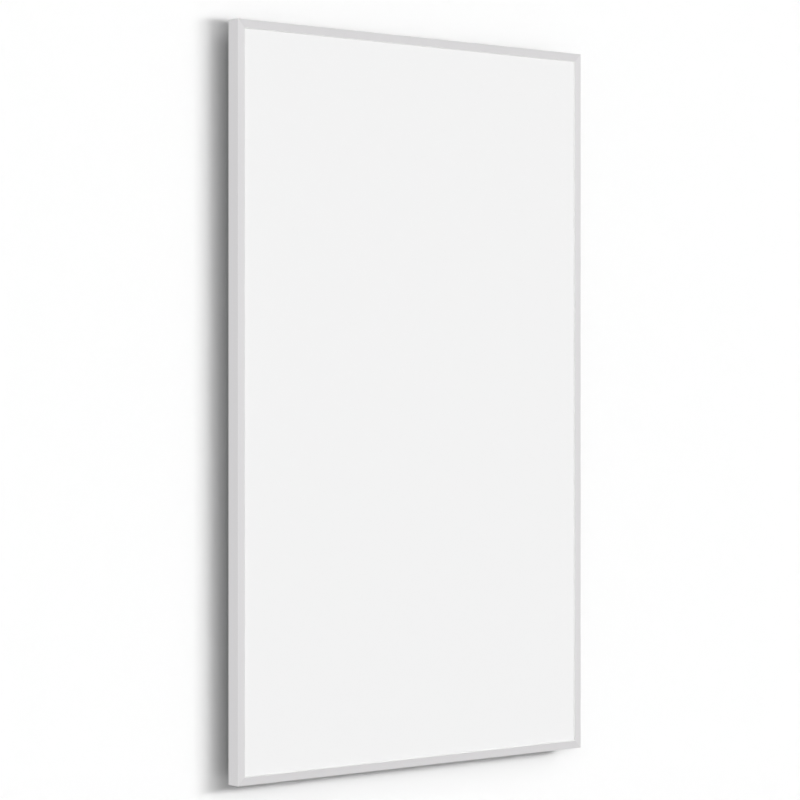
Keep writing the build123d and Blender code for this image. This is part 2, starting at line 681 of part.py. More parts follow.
def junction_box_lid():
    lid = extrude(box_outline(0), amount=LID_T)
    lid = chamfer(lid.faces().sort_by(Axis.Z)[-1].edges(), LID_CHAMFER)
    for x, z in four(BOSS_X, BOSS_Z):
        lid -= Pos(x, z, -CUT_OVER) * bar(LID_SCREW_R + FIT, LID_T + 2 * CUT_OVER)
    return to_wall(0, Y_LID, BOX_Z) * lid


def make_junction_box():
    save("junction_box_base", junction_box_base())
    save("junction_box_lid", junction_box_lid())
    ring = box_outline(LID_SEAL_INSET) - box_outline(LID_SEAL_INSET + LID_SEAL_W)
    save("lid_seal", to_wall(0, Y_RIM, BOX_Z) * extrude(ring, amount=LID_SEAL_T))

    screw = pan_screw(LID_SCREW_R, LID_SCREW_L, LID_SCREW_HEAD_R, LID_SCREW_HEAD_H)
    y_seat = Y_LID + LID_T
    save("lid_screws", Compound([to_wall(x, y_seat, z) * screw for x, z in boss_places()]))

    screw = pan_screw(BOX_SCREW_R, BOX_SCREW_L, BOX_SCREW_HEAD_R, BOX_SCREW_HEAD_H)
    screws = [to_wall(x, Y_BOX_FLOOR, z) * screw for x, z in box_screw_places()]
    save("box_screws", Compound(screws))


# ------------------------------------------------------------------ cable gland

def make_gland():
    """A gland that clamps the mains cable: body, locknut inside, seal and domed cap."""
    inside_z = GLAND_Z + BOX_WALL_T + GLAND_IN_L
    thread_l = GLAND_IN_L + BOX_WALL_T
    neck_bore_r = GLAND_NECK_R - GLAND_NECK_WALL
    body = downwards(0, GLAND_Y, inside_z) * round_bar(GLAND_THREAD_R, thread_l)
    body += downwards(0, GLAND_Y, GLAND_Z) * hexagon(GLAND_AF, GLAND_HEX_T)
    body += downwards(0, GLAND_Y, GLAND_NECK_Z) * round_bar(GLAND_NECK_R, GLAND_NECK_L)
    length = thread_l + GLAND_HEX_T + GLAND_NECK_L + 2 * CUT_OVER
    body -= downwards(0, GLAND_Y, inside_z + CUT_OVER) * round_bar(CABLE_HOLE_R + FIT, length)
    seal_top_z = GLAND_NECK_Z - GLAND_FLOOR_T
    seal_l = GLAND_NECK_L - GLAND_FLOOR_T
    body -= downwards(0, GLAND_Y, seal_top_z) * round_bar(neck_bore_r, seal_l + CUT_OVER)
    save("gland_body", body)

    nut = hexagon(LOCKNUT_AF, LOCKNUT_T) - round_bar(GLAND_THREAD_R + FIT, LOCKNUT_T)
    save("gland_locknut", downwards(0, GLAND_Y, GLAND_Z + BOX_WALL_T + LOCKNUT_T) * nut)

    seal = round_bar(neck_bore_r - FIT, seal_l) - rod(CABLE_HOLE_R, seal_l)
    save("gland_seal", downwards(0, GLAND_Y, seal_top_z) * seal)

    dome_l = GLAND_CAP_L - GLAND_CAP_HEX_L
    dome = tapered_bar(GLAND_AF / 2 - FIT, GLAND_CAP_NOSE_R, dome_l, ROUND_SIDES)
    cap = hexagon(GLAND_AF, GLAND_CAP_HEX_L) + Pos(0, 0, GLAND_CAP_HEX_L) * dome
    cap -= round_bar(GLAND_NECK_R + FIT, GLAND_NECK_L + FIT)
    cap -= round_bar(GLAND_CAP_MOUTH_R, GLAND_CAP_L + CUT_OVER)
    save("gland_cap", downwards(0, GLAND_Y, GLAND_NECK_Z - FIT) * cap)


# ------------------------------------------------------------------ hanging

def keyhole():
    """The cut for one button, with the slot's upper end at the origin, through the sheet."""
    entry_r = HEAD_R + ENTRY_PLAY
    slot = Pos(0, -LIFT / 2) * Rot(0, 0, 90) * SlotCenterToCenter(LIFT, 2 * (NECK_R + NECK_PLAY))
    outline = slot + Pos(0, -LIFT) * Circle(entry_r)
    return extrude(Plane.XZ * outline, amount=RAIL_T + CUT_OVER, both=True)


def hanger_rail():
    """A hat section along Z with its crown towards the wall, at x = 0."""
    half_crown = RAIL_CROWN_W / 2
    y_foot = Y_BACK_PLATE
    flange_end = half_crown + RAIL_FLANGE_W
    bend = FilletPolyline(
        (-flange_end, y_foot + RAIL_T / 2),
        (-half_crown + RAIL_T / 2, y_foot + RAIL_T / 2),
        (-half_crown + RAIL_T / 2, Y_RAIL - RAIL_T / 2),
        (half_crown - RAIL_T / 2, Y_RAIL - RAIL_T / 2),
        (half_crown - RAIL_T / 2, y_foot + RAIL_T / 2),
        (flange_end, y_foot + RAIL_T / 2),
        radius=RAIL_BEND_R + RAIL_T / 2,
    )
    rail = extrude(trace(bend, line_width=RAIL_T), amount=RAIL_L / 2, both=True)
    for z in (BUTTON_Z, -BUTTON_Z):
        rail -= Pos(0, Y_RAIL - RAIL_T / 2, z) * keyhole()
    return rail


def wall_button():
    """A turned button: flange on the wall, neck in the rail's slot, head behind its sheet."""
    neck_end = BUTTON_FLANGE_T + RAIL_T + 2 * HANG_PLAY
    top = neck_end + HEAD_T
    sink = WALL_SCREW_SINK_R - WALL_SCREW_R
    button = round_bar(BUTTON_FLANGE_R, BUTTON_FLANGE_T) + rod(NECK_R, top)
    button += Pos(0, 0, neck_end) * round_bar(HEAD_R, HEAD_T)
    button -= turned(
        (0, -CUT_OVER),
        (WALL_SCREW_R, -CUT_OVER),
        (WALL_SCREW_R, top - sink),
        (WALL_SCREW_SINK_R + CUT_OVER, top + CUT_OVER),
        (0, top + CUT_OVER),
    )
    return Plane(origin=(0, 0, 0), x_dir=(1, 0, 0), z_dir=(0, -1, 0)).location * button


def make_hanging():
    rail = hanger_rail()
    hole = bar(RIVET_R + FIT, RAIL_T + 2 * CUT_OVER)
    for side, hand in ((-1, "left"), (1, "right")):
        placed = Pos(side * RAIL_X, 0, 0) * rail
        for x, z in rivet_places():
            if x * side > 0:
                placed -= to_wall(x, Y_BACK_PLATE - CUT_OVER, z) * hole
        save("hanger_rail_" + hand, placed)

    grip = RAIL_T + BACK_PLATE_T
    rivet = tapered_bar(RIVET_HEAD_R, RIVET_HEAD_R * RIVET_DOME, RIVET_HEAD_H)
    rivet += Pos(0, 0, -grip) * bar(RIVET_R, grip)
    rivet += Pos(0, 0, -grip - RIVET_BULB_H) * bar(RIVET_BULB_R, RIVET_BULB_H)
    y_seat = Y_BACK_PLATE + RAIL_T
    save("hanger_rivets", Compound([to_wall(x, y_seat, z) * rivet for x, z in rivet_places()]))

    button = wall_button()
    save("wall_buttons", Compound([Pos(x, 0, z) * button for x, z in four(RAIL_X, BUTTON_Z)]))


os.makedirs("parts", exist_ok=True)
make_frame()
make_layers()
make_leads()
make_earth()
make_terminal_block()
make_junction_box()
make_gland()
make_hanging()
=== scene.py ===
import json
from math import cos, pi, radians, sin, sqrt, tan, tau

import bpy
from mathutils import Matrix, Vector

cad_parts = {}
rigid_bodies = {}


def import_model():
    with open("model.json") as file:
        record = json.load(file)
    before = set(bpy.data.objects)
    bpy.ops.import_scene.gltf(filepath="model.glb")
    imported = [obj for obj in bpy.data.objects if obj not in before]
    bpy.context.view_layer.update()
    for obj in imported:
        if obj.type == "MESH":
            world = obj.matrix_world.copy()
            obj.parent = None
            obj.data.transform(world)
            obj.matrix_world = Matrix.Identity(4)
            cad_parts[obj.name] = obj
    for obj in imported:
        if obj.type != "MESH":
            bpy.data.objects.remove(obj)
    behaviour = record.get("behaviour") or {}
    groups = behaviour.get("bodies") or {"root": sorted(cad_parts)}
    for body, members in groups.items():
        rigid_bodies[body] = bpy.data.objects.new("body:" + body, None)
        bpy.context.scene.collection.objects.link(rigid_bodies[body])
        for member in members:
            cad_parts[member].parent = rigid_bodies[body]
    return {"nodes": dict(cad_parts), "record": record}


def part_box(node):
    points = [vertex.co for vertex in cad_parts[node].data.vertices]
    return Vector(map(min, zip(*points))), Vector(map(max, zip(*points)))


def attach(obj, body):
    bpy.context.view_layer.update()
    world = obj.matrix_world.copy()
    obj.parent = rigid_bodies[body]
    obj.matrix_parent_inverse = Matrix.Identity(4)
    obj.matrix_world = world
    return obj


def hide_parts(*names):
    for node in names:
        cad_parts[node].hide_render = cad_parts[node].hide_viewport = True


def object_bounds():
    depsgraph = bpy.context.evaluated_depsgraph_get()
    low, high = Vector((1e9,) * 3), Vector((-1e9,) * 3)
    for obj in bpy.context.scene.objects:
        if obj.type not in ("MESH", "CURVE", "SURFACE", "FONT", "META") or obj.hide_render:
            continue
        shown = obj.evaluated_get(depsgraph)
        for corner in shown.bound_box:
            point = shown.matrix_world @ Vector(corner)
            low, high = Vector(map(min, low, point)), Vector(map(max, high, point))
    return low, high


for leftover in list(bpy.data.objects):
    bpy.data.objects.remove(leftover)
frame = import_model()
cad_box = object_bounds()

# Sizes and places below are millimetres until a mesh is drawn or put in its place.
MM = 0.001
TOUCH = 0.002  # points nearer than this are one point
FLAT = 0.5  # faces that turn by fewer degrees than this are one face
CRISP = 35  # edges that turn by more degrees than this are crisp


def corners(node_name):
    """A node's lowest and highest corner."""
    low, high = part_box(node_name)
    return Vector(low) / MM, Vector(high) / MM


def neat(place):
    """A place to the nearest thousandth."""
    return [round(value, 3) for value in place]


def centre_of(node_name):
    """A node's middle."""
    low, high = corners(node_name)
    return neat((low + high) / 2)


# ---------------- places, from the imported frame

HALF_W = cad_box[1].x / MM
HALF_H = cad_box[1].z / MM
STILE_LOW, STILE_HIGH = corners("frame_left_stile")
Y_FRONT, Y_REAR = STILE_LOW.y, STILE_HIGH.y
FRAME_FACE = STILE_HIGH.x - STILE_LOW.x
FRAME_DEPTH = Y_REAR - Y_FRONT
RAIL_LOW, RAIL_HIGH = corners("hanger_rail_right")
RAIL_X = (RAIL_LOW.x + RAIL_HIGH.x) / 2
Y_BACK_PLATE = RAIL_LOW.y
BASE_LOW, BASE_HIGH = corners("junction_box_base")
BOX_Z = (BASE_LOW.z + BASE_HIGH.z) / 2
LID_LOW, LID_HIGH = corners("junction_box_lid")
BLOCK_LOW, BLOCK_HIGH = corners("terminal_block")
BLOCK_Z = (BLOCK_LOW.z + BLOCK_HIGH.z) / 2
Y_BOX_FLOOR = BLOCK_LOW.y
GLAND_Y = (Y_BOX_FLOOR + LID_LOW.y) / 2
GLAND_Z = BASE_LOW.z
Y_POLE = centre_of("terminal_inserts")[1]
LEAD_LOW_Z = neat(corners("lead_neutral")[0])[2]  # where a lead ends in the terminal block
LEAD_FAR_X = neat(corners("lead_neutral_tail")[1])[0]  # where it ends in its lug
_, Y_LEAD, LEAD_Z = centre_of("lead_neutral_tail")
EARTH_X, _, EARTH_Z = centre_of("earth_stud")
Y_EARTH_LUG = neat(corners("earth_lug")[0])[1]

# ---------------- sizes that the frame's boxes don't give

FRAME_WALL = 1.3
FRAME_WEB_AT = 5.8  # from the outer side to the web between chamber and pocket
POCKET_AT = 7.0
CHAMBER_MID = (FRAME_WALL + FRAME_WEB_AT) / 2
EDGE_R = 0.9
REAR_R = 0.5
LIP_R = 0.35
BEAD_W = 1.2  # how far the seal's bead stands inside the lip's edge
JOINT_GAP = 0.06  # at each mitre
KEY_SCREW_AT = 28.0
KEY_SCREW_HEAD_R = 2.7
KEY_SCREW_HOLE_R = 1.55
RAIL_T = 1.2
RAIL_CROWN = 16.0  # half its width
RAIL_BEND = 1.5
KEYHOLE_SLOT_R = 4.3
KEYHOLE_ENTRY_R = 8.0
KEYHOLE_DROP = 14.0  # from the button's place at rest down to the entry
BUTTON_R = 9.0
BUTTON_Z = neat(corners("wall_buttons")[1])[2] - BUTTON_R
RIVET_X = 23.0  # from the rail's middle
RIVET_ROWS = (-467.0, 0, 467.0)
RIVET_HOLE_R = 2.05
BOX_R = 5.0
BOX_WALL = 2.2
BOSS_X, BOSS_Z = 40.2, 25.2
BOSS_R = 4.0
BOX_SCREW_X, BOX_SCREW_Z = 36.0, 11.0
LID_SCREW_HOLE_R = 1.55
BOX_SCREW_HOLE_R = 1.65
BLOCK_SCREW_HOLE_R = 1.25
GROMMET_HOLE_R = 4.55
EARTH_HOLE_R = 2.05
GLAND_HOLE_R = 6.05
FIELD_AT, FIELD_DEPTH = 12.0, 0.4  # the lid's sunk field, from the lid's edge
SEAL_OUTER, SEAL_INNER = 0.4, 1.7  # the lid seal's two sides, from the lid's edge
POLE_PITCH = 10.0
CLAMP_ROWS = (-4.5, 4.5)  # of the block's clamp screws, from its middle
BLOCK_FLAT_H = 12.0  # of the block beside its towers
CLAMP_HEAD_AT = 5.5  # from the pole's middle
LEAD_R = 1.2
LEAD_BEND = 6.0
TAB_T = 0.8  # of all lugs
EARTH_LUG_L = 10.0  # from the stud's middle to where the lead ends
EARTH_NUT_H = 3.2
SCREW_PITCH = 0.6
SCREW_CORE = 0.85  # of its thread's radius
STRIPE_W = 0.9  # of the earth lead
CARBON_PITCH = 12.0  # of the print's level bands

# ---------------- camera, stage and light

CAMERA_PLACE = (-2.2469, -2.8668, 0.0206)  # metres
CAMERA_TURN = -38.183  # degrees; it looks level, and this far to the right of straight at the wall
CAMERA_LENS = 118.2
CAMERA_SHIFT = -0.0167
AMBIENT = 0.18  # share of the wall's light that comes from everywhere
STRIP_AT = 3000.0  # from the panel's left side to the row of soft lamps that gives most of the rest
STRIP_Z = 265.0  # above the panel's middle
STRIP = (  # degrees to the right of straight out from the panel's left side, share, spread
    (-24.0, 0.112, 20.0),
    (-6.0, 0.108, 16.0),
    (6.5, 0.117, 10.0),
    (15.5, 0.154, 9.0),
    (24.0, 0.137, 8.0),
    (32.5, 0.117, 8.0),
)
FILLS = (  # far lamps: degrees to the right of the front's normal, degrees up, share, spread
    (-42.0, 15.0, 0.06, 16.0),
    (10.0, 34.0, 0.11, 30.0),
    (10.0, -15.0, 0.085, 12.0),
)
REAR_LAMPS = (  # far lamps: name, degrees right, degrees up, strength, spread
    ("rear_right", 140, 25, 1.6, 40),
    ("rear_left", -150, 40, 1.0, 40),
)
WALL_AT = 0.5  # the wall stage's place behind the buttons
WALL_IN_GLOSS = 0.845  # how bright it looks in a gloss
FLOOR_IN_GLOSS = 0.96
STAGE_REACH = 8000.0
FLOOR_AT = -1000.0


# ---------------- modelling steps

def mode(name):
    """Goes into EDIT or OBJECT mode."""
    bpy.ops.object.mode_set(mode=name)


def added(name, data):
    """A new object in the scene."""
    made = bpy.data.objects.new(name, data)
    bpy.context.scene.collection.objects.link(made)
    return made


def only(piece):
    """Makes one piece the only selected and the active one."""
    bpy.ops.object.select_all(action="DESELECT")
    piece.select_set(True)
    bpy.context.view_layer.objects.active = piece


def begin(name):
    """Opens a new, empty piece at the origin in edit mode."""
    bpy.ops.object.select_all(action="DESELECT")
    bpy.ops.mesh.primitive_plane_add(size=MM)
    piece = bpy.context.object
    piece.name = piece.data.name = name
    mode("EDIT")
    bpy.ops.mesh.select_mode(type="VERT")
    bpy.ops.mesh.select_all(action="SELECT")
    bpy.ops.mesh.delete(type="VERT")
    return piece


def draw(points, closed=False):
    """Draws a chain of edges in the open piece, from point to point."""
    chain = [Vector(point) * MM for point in points]
    if closed:
        chain.append(chain[0])
    bpy.ops.mesh.select_all(action="DESELECT")
    bpy.ops.mesh.primitive_plane_add(size=MM, location=chain[0])
    bpy.ops.mesh.merge(type="CENTER")
    for here, there in zip(chain, chain[1:]):
        bpy.ops.mesh.extrude_vertices_move(TRANSFORM_OT_translate={"value": there - here})


def merge_all():
    """Makes one point of points that touch."""
    bpy.ops.mesh.select_all(action="SELECT")
    bpy.ops.mesh.remove_doubles(threshold=TOUCH * MM)


def face_over():
    """Closes the drawn outline with a face."""
    merge_all()
    bpy.ops.mesh.edge_face_add()


def close_up():
    """Merges what meets, turns the faces outwards and leaves edit mode."""
    merge_all()
    bpy.ops.mesh.normals_make_consistent(inside=False)
    mode("OBJECT")


def rounded(outline, steps=6):
    """Points of an outline whose (x, y, radius) corners are rounded."""
    points = []
    for index, (x, y, radius) in enumerate(outline):
        corner = Vector((x, y))
        if radius == 0:
            points.append(corner)
            continue
        before = (Vector(outline[index - 1][:2]) - corner).normalized()
        after = (Vector(outline[(index + 1) % len(outline)][:2]) - corner).normalized()
        half = before.angle(after) / 2
        middle = corner + (before + after).normalized() * radius / sin(half)
        start = corner + before * radius * cos(half) / sin(half)
        turn = (pi - 2 * half) / steps
        if before.cross(after) > 0:
            turn = -turn
        for step in range(steps + 1):
            points.append(middle + Matrix.Rotation(turn * step, 2) @ (start - middle))
    return points


def rectangle(width, height, radius=0.0, steps=6):
    """A level outline round the origin, with rounded corners."""
    x, y = width / 2, height / 2
    return rounded([(-x, -y, radius), (x, -y, radius), (x, y, radius), (-x, y, radius)], steps)


def place(piece, matrix):
    """Puts a piece's mesh in its place and leaves its object at the origin."""
    only(piece)
    piece.matrix_world = matrix
    bpy.ops.object.transform_apply(location=True, rotation=True, scale=True)
    return piece


def seat(x, y, z, turn):
    """A place with local Z turned one of the ways below."""
    return Matrix.Translation(Vector((x, y, z)) * MM) @ turn


TO_WALL = Matrix.Rotation(radians(-90), 4, "X")
FROM_WALL = Matrix.Rotation(radians(90), 4, "X")
UPWARDS = Matrix.Identity(4)
DOWNWARDS = Matrix.Rotation(radians(180), 4, "X")
LEFTWARDS = Matrix.Rotation(radians(-90), 4, "Y")
RIGHTWARDS = Matrix.Rotation(radians(90), 4, "Y")


def seats(y, spots, turn=TO_WALL):
    """A place at each (x, z) spot, all at the same y and turned the same way."""
    return [seat(x, y, z, turn) for x, z in spots]


def four(x, z):
    """The four spots at plus and minus x and z."""
    return [(side * x, up * z) for up in (1, -1) for side in (-1, 1)]


def grid(xs, zs):
    """The spots of a grid."""
    return [(x, z) for x in xs for z in zs]


def standing(spots):
    """A place at each local (x, y) spot."""
    return [Matrix.Translation((x * MM, y * MM, 0)) for x, y in spots]


def apply_modifier(piece, kind, **settings):
    """Gives a piece a modifier with these settings and applies it."""
    only(piece)
    modifier = piece.modifiers.new(kind.lower(), kind)
    for key, value in settings.items():
        setattr(modifier, key, value)
    bpy.ops.object.modifier_apply(modifier=modifier.name)


def carve(piece, cutter, operation="DIFFERENCE"):
    """Cuts one piece with another, or unites them; the other is used up."""
    apply_modifier(piece, "BOOLEAN", operation=operation, object=cutter, solver="EXACT")
    bpy.data.objects.remove(cutter)
    return piece


def soften(piece, width, segments=2):
    """Rounds the crisp edges of a piece a little."""
    apply_modifier(
        piece,
        "BEVEL",
        width=width * MM,
        segments=segments,
        limit_method="ANGLE",
        angle_limit=radians(CRISP),
        use_clamp_overlap=True,
    )
    return piece


def joined(name, pieces):
    """Several pieces made one."""
    bpy.ops.object.select_all(action="DESELECT")
    for piece in pieces:
        piece.select_set(True)
    bpy.context.view_layer.objects.active = pieces[0]
    if len(pieces) > 1:
        bpy.ops.object.join()
    pieces[0].name = pieces[0].data.name = name
    return pieces[0]


def copies(original, places):
    """The original, once in each place, joined to one piece of the same name."""
    name = original.name
    made = []
    for matrix in places:
        made.append(place(added("copy", original.data.copy()), matrix))
    bpy.data.objects.remove(original)
    return joined(name, made)


def spun(name, points, sides=32):
    """A piece turned round local Z; its (radius, height) points run from axis to axis or round a ring."""
    piece = begin(name)
    draw([(radius, 0, height) for radius, height in points], closed=points[0][0] > 0)
    bpy.ops.mesh.select_all(action="SELECT")
    bpy.ops.mesh.spin(steps=sides, angle=tau, center=(0, 0, 0), axis=(0, 0, 1))
    merge_all()
    bpy.ops.mesh.dissolve_limited(angle_limit=radians(FLAT))
    close_up()
    return piece


def slab(name, outline, height, low=0.0):
    """A plate with an (x, y) outline, from local Z = low upwards."""
    piece = begin(name)
    draw([(x, y, low) for x, y in outline], closed=True)
    face_over()
    bpy.ops.mesh.extrude_region_move(TRANSFORM_OT_translate={"value": (0, 0, height * MM)})
    close_up()
    return piece


def rod(radius, low, high, sides=32):
    """A round bar on local Z."""
    return spun("rod", [(0, low), (radius, low), (radius, high), (0, high)], sides)


def drilled(piece, radius, low, high, places):
    """Drills the same round hole at each place."""
    return carve(piece, copies(rod(radius, low, high), places))


def hexed(name, across, low, high):
    """A hexagon bar round local Z whose corners are turned down at both ends."""
    corner_r = across / sqrt(3)
    piece = spun(name, [(0, low), (corner_r, low), (corner_r, high), (0, high)], sides=6)
    over = 0.5
    inner, outer = across / 2 - over * sqrt(3), corner_r + over
    fall = (outer - across / 2) / sqrt(3)
    turning = spun("turning", [
        (0, low - over),
        (inner, low - over),
        (outer, low + fall),
        (outer, high - fall),
        (inner, high + over),
        (0, high + over),
    ], sides=44)
    return carve(piece, turning, "INTERSECT")


def bevel_rim(piece, height, width, segments):
    """Rounds only the edges that lie at one height of local Z."""
    only(piece)
    mode("EDIT")
    bpy.ops.mesh.select_all(action="DESELECT")
    mode("OBJECT")
    for vertex in piece.data.vertices:
        vertex.select = abs(vertex.co.z - height * MM) < TOUCH * MM
    mode("EDIT")
    bpy.ops.mesh.select_mode(type="EDGE")
    bpy.ops.mesh.bevel(offset=width * MM, segments=segments, affect="EDGES")
    mode("OBJECT")


def wear(piece, slot):
    """Gives a piece one finish."""
    piece.data.materials.clear()
    piece.data.materials.append(finishes[slot])


def finished(piece, body, slot, node_name, angle=CRISP):
    """Shades a piece, gives it its body and its finish, and hides the CAD node that it stands for."""
    only(piece)
    mode("EDIT")
    bpy.ops.mesh.select_all(action="SELECT")
    bpy.ops.mesh.dissolve_degenerate(threshold=TOUCH * MM)
    mode("OBJECT")
    bpy.ops.object.shade_smooth_by_angle(angle=radians(angle))
    apply_modifier(piece, "WEIGHTED_NORMAL", keep_sharp=True)
    wear(piece, slot)
    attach(piece, body)
    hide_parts(node_name)


# ---------------- materials

def node_group(name, inputs, outputs):
    """An empty shader group with its sockets, and its input and output nodes."""
    group = bpy.data.node_groups.new(name, "ShaderNodeTree")
    for label, kind, value in inputs:
        socket = group.interface.new_socket(label, in_out="INPUT", socket_type="NodeSocket" + kind)
        socket.default_value = value
    for label in outputs:
        group.interface.new_socket(label, in_out="OUTPUT", socket_type="NodeSocketFloat")
    return group, group.nodes.new("NodeGroupInput"), group.nodes.new("NodeGroupOutput")


def feed(tree, socket, value):
    """Links an input to another socket, or sets it to a value."""
    if isinstance(value, bpy.types.NodeSocket):
        tree.links.new(value, socket)
    else:
        socket.default_value = value


def node(tree, kind, **inputs):
    """A node whose named inputs are fed with values or sockets."""
    made = tree.nodes.new("ShaderNode" + kind)
    for label, value in inputs.items():
        feed(tree, made.inputs[label.replace("_", " ")], value)
    return made


def maths(tree, operation, *values):
    """What a Math node makes of one to three values or sockets."""
    made = node(tree, "Math")
    made.operation = operation
    for socket, value in zip(made.inputs, values):
        feed(tree, socket, value)
    return made.outputs[0]


def ranged(tree, value, low, high, start=0.3, end=0.7):
    """A value between start and end, brought to between low and high."""
    made = node(tree, "MapRange", Value=value, From_Min=start, From_Max=end, To_Min=low, To_Max=high)
    return made.outputs["Result"]


def blended(tree, factor, low, high):
    """A colour between two, by a mask."""
    mix = node(tree, "Mix")
    mix.data_type = "RGBA"
    tree.links.new(factor, mix.inputs[0])
    for socket, colour in ((mix.inputs[6], low), (mix.inputs[7], high)):
        socket.default_value = (*colour, 1)
    return mix.outputs[2]


def on_piece(tree, scales=(1, 1, 1)):
    """Places on the piece, stretched by three scales."""
    place_on_piece = node(tree, "TexCoord").outputs["Object"]
    return node(tree, "Mapping", Vector=place_on_piece, Scale=scales).outputs[0]


def swayed(tree, scale, detail, reach):
    """Places on the piece, pushed about by a soft noise, by up to reach metres."""
    sway = node(tree, "TexNoise", Vector=on_piece(tree), Scale=scale, Detail=detail)
    offset = node(tree, "VectorMath")
    offset.operation = "MULTIPLY_ADD"
    tree.links.new(sway.outputs["Color"], offset.inputs[0])
    offset.inputs[1].default_value = (reach, reach, reach)
    tree.links.new(on_piece(tree), offset.inputs[2])
    return offset.outputs[0]


def make_drawn_lines():
    """Long fine lines that a die or a roll leaves, stretched by their three scales."""
    group, given, out = node_group("drawn_lines", [("Scales", "Vector", (900, 900, 6))], ["Height"])
    place_on_piece = on_piece(group, given.outputs["Scales"])
    coarse = node(group, "TexNoise", Vector=place_on_piece, Scale=0.35, Detail=2.0)
    fine = node(group, "TexNoise", Vector=place_on_piece, Scale=1.6, Detail=2.0)
    total = maths(group, "ADD", coarse.outputs[0], fine.outputs[0])
    group.links.new(maths(group, "MULTIPLY", total, 0.5), out.inputs["Height"])
    return group


def make_noise(name, scale, detail, label):
    """A noise of one scale, whose output has this label."""
    group, given, out = node_group(name, [("Scale", "Float", scale)], [label])
    noise = node(group, "TexNoise", Vector=on_piece(group), Scale=given.outputs["Scale"], Detail=detail)
    group.links.new(noise.outputs[0], out.inputs[label])
    return group


def make_weave():
    """A plain weave of flat threads, level and upright; its scale is threads per metre."""
    group, given, out = node_group("weave", [("Threads", "Float", 1600.0)], ["Height"])
    place_on_piece = on_piece(group)
    apart = node(group, "SeparateXYZ", Vector=place_on_piece)
    waves = []
    for label in ("X", "Z"):
        count = maths(group, "MULTIPLY", apart.outputs[label], given.outputs["Threads"])
        waves.append(maths(group, "SINE", maths(group, "MULTIPLY", count, pi)))
    crossing = maths(group, "MULTIPLY", waves[0], waves[1])
    group.links.new(maths(group, "MULTIPLY_ADD", crossing, 0.5, 0.5), out.inputs["Height"])
    return group


groups = {
    "drawn_lines": make_drawn_lines(),
    # Even pimples of one size, as on powder coating and on moulded plastic.
    "fine_grain": make_noise("fine_grain", 900.0, 3.0, "Height"),
    # Broad soft patches, where a surface is a little cleaner, duller or darker.
    "handling": make_noise("handling", 9.0, 4.0, "Mask"),
    "weave": make_weave(),
}


def grouped(tree, name, **inputs):
    """One of the shared effects, with values of its own."""
    made = node(tree, "Group")
    made.node_tree = groups[name]
    for label, value in inputs.items():
        made.inputs[label].default_value = value
    return made


def shaded(colour, by):
    """A colour made lighter or darker."""
    return tuple(min(1.0, channel * by) for channel in colour)


def finish(name, colour, roughness, metallic=0.0, shade=0.05, dull=0.06, patches=9.0):
    """A material whose tone and roughness vary in broad soft patches."""
    material = bpy.data.materials.new(name)
    material.use_nodes = True
    tree = material.node_tree
    shader = tree.nodes["Principled BSDF"]
    shader.inputs["Metallic"].default_value = metallic
    mask = grouped(tree, "handling", Scale=patches).outputs["Mask"]
    tone = blended(tree, mask, shaded(colour, 1 - shade), shaded(colour, 1 + shade))
    tree.links.new(tone, shader.inputs["Base Color"])
    tree.links.new(ranged(tree, mask, roughness - dull, roughness + dull), shader.inputs["Roughness"])
    return material


def raised(material, height, depth):
    """Gives a material relief from a height, up to depth millimetres."""
    tree = material.node_tree
    bump = node(tree, "Bump", Height=height, Strength=1.0, Distance=depth * MM)
    tree.links.new(bump.outputs[0], tree.nodes["Principled BSDF"].inputs["Normal"])
    return material


def recoloured(material, factor, low, high):
    """Gives a material two tones by a mask."""
    tree = material.node_tree
    tree.links.new(blended(tree, factor, low, high), tree.nodes["Principled BSDF"].inputs["Base Color"])
    return material


def drawn_metal(name, colour, roughness, scales, depth, **looks):
    """Metal with the lines of its die, roll or brush."""
    material = finish(name, colour, roughness, metallic=1.0, **looks)
    lines = grouped(material.node_tree, "drawn_lines", Scales=scales)
    return raised(material, lines.outputs["Height"], depth)


def grained(name, colour, roughness, scale, depth, **looks):
    """A surface with fine even grain."""
    material = finish(name, colour, roughness, **looks)
    grain = grouped(material.node_tree, "fine_grain", Scale=scale)
    return raised(material, grain.outputs["Height"], depth)


def galvanised(name):
    """Hot-dip zinc sheet: flat grains, each with fine frost lines that run its own way."""
    material = finish(name, (0.6, 0.62, 0.63), 0.42, metallic=1.0)
    tree = material.node_tree
    grains = node(tree, "TexVoronoi", Vector=swayed(tree, 260.0, 2.0, 0.003), Scale=85.0)
    apart = node(tree, "SeparateColor", Color=grains.outputs["Color"])
    tone, way = apart.outputs[0], apart.outputs[1]
    turned = node(tree, "VectorRotate", Vector=on_piece(tree), Angle=maths(tree, "MULTIPLY", way, pi))
    turned.rotation_type = "Y_AXIS"
    lines = node(tree, "Mapping", Vector=turned.outputs[0], Scale=(1500, 300, 160))
    frost = node(tree, "TexNoise", Vector=lines.outputs[0], Scale=1.0, Detail=2.0).outputs[0]
    frosted = maths(tree, "ADD", maths(tree, "MULTIPLY", tone, 0.7), ranged(tree, frost, 0, 0.3))
    recoloured(material, frosted, (0.535, 0.555, 0.565), (0.66, 0.68, 0.69))
    dullness = ranged(tree, frosted, 0.36, 0.5, 0, 1)
    tree.links.new(dullness, tree.nodes["Principled BSDF"].inputs["Roughness"])
    return raised(material, frost, 0.012)


def woven_laminate(name):
    """Glass cloth in amber resin."""
    material = finish(name, (0.42, 0.4, 0.2), 0.3)
    height = grouped(material.node_tree, "weave", Threads=1800.0).outputs["Height"]
    recoloured(material, height, (0.36, 0.35, 0.16), (0.47, 0.45, 0.24))
    return raised(material, height, 0.01)


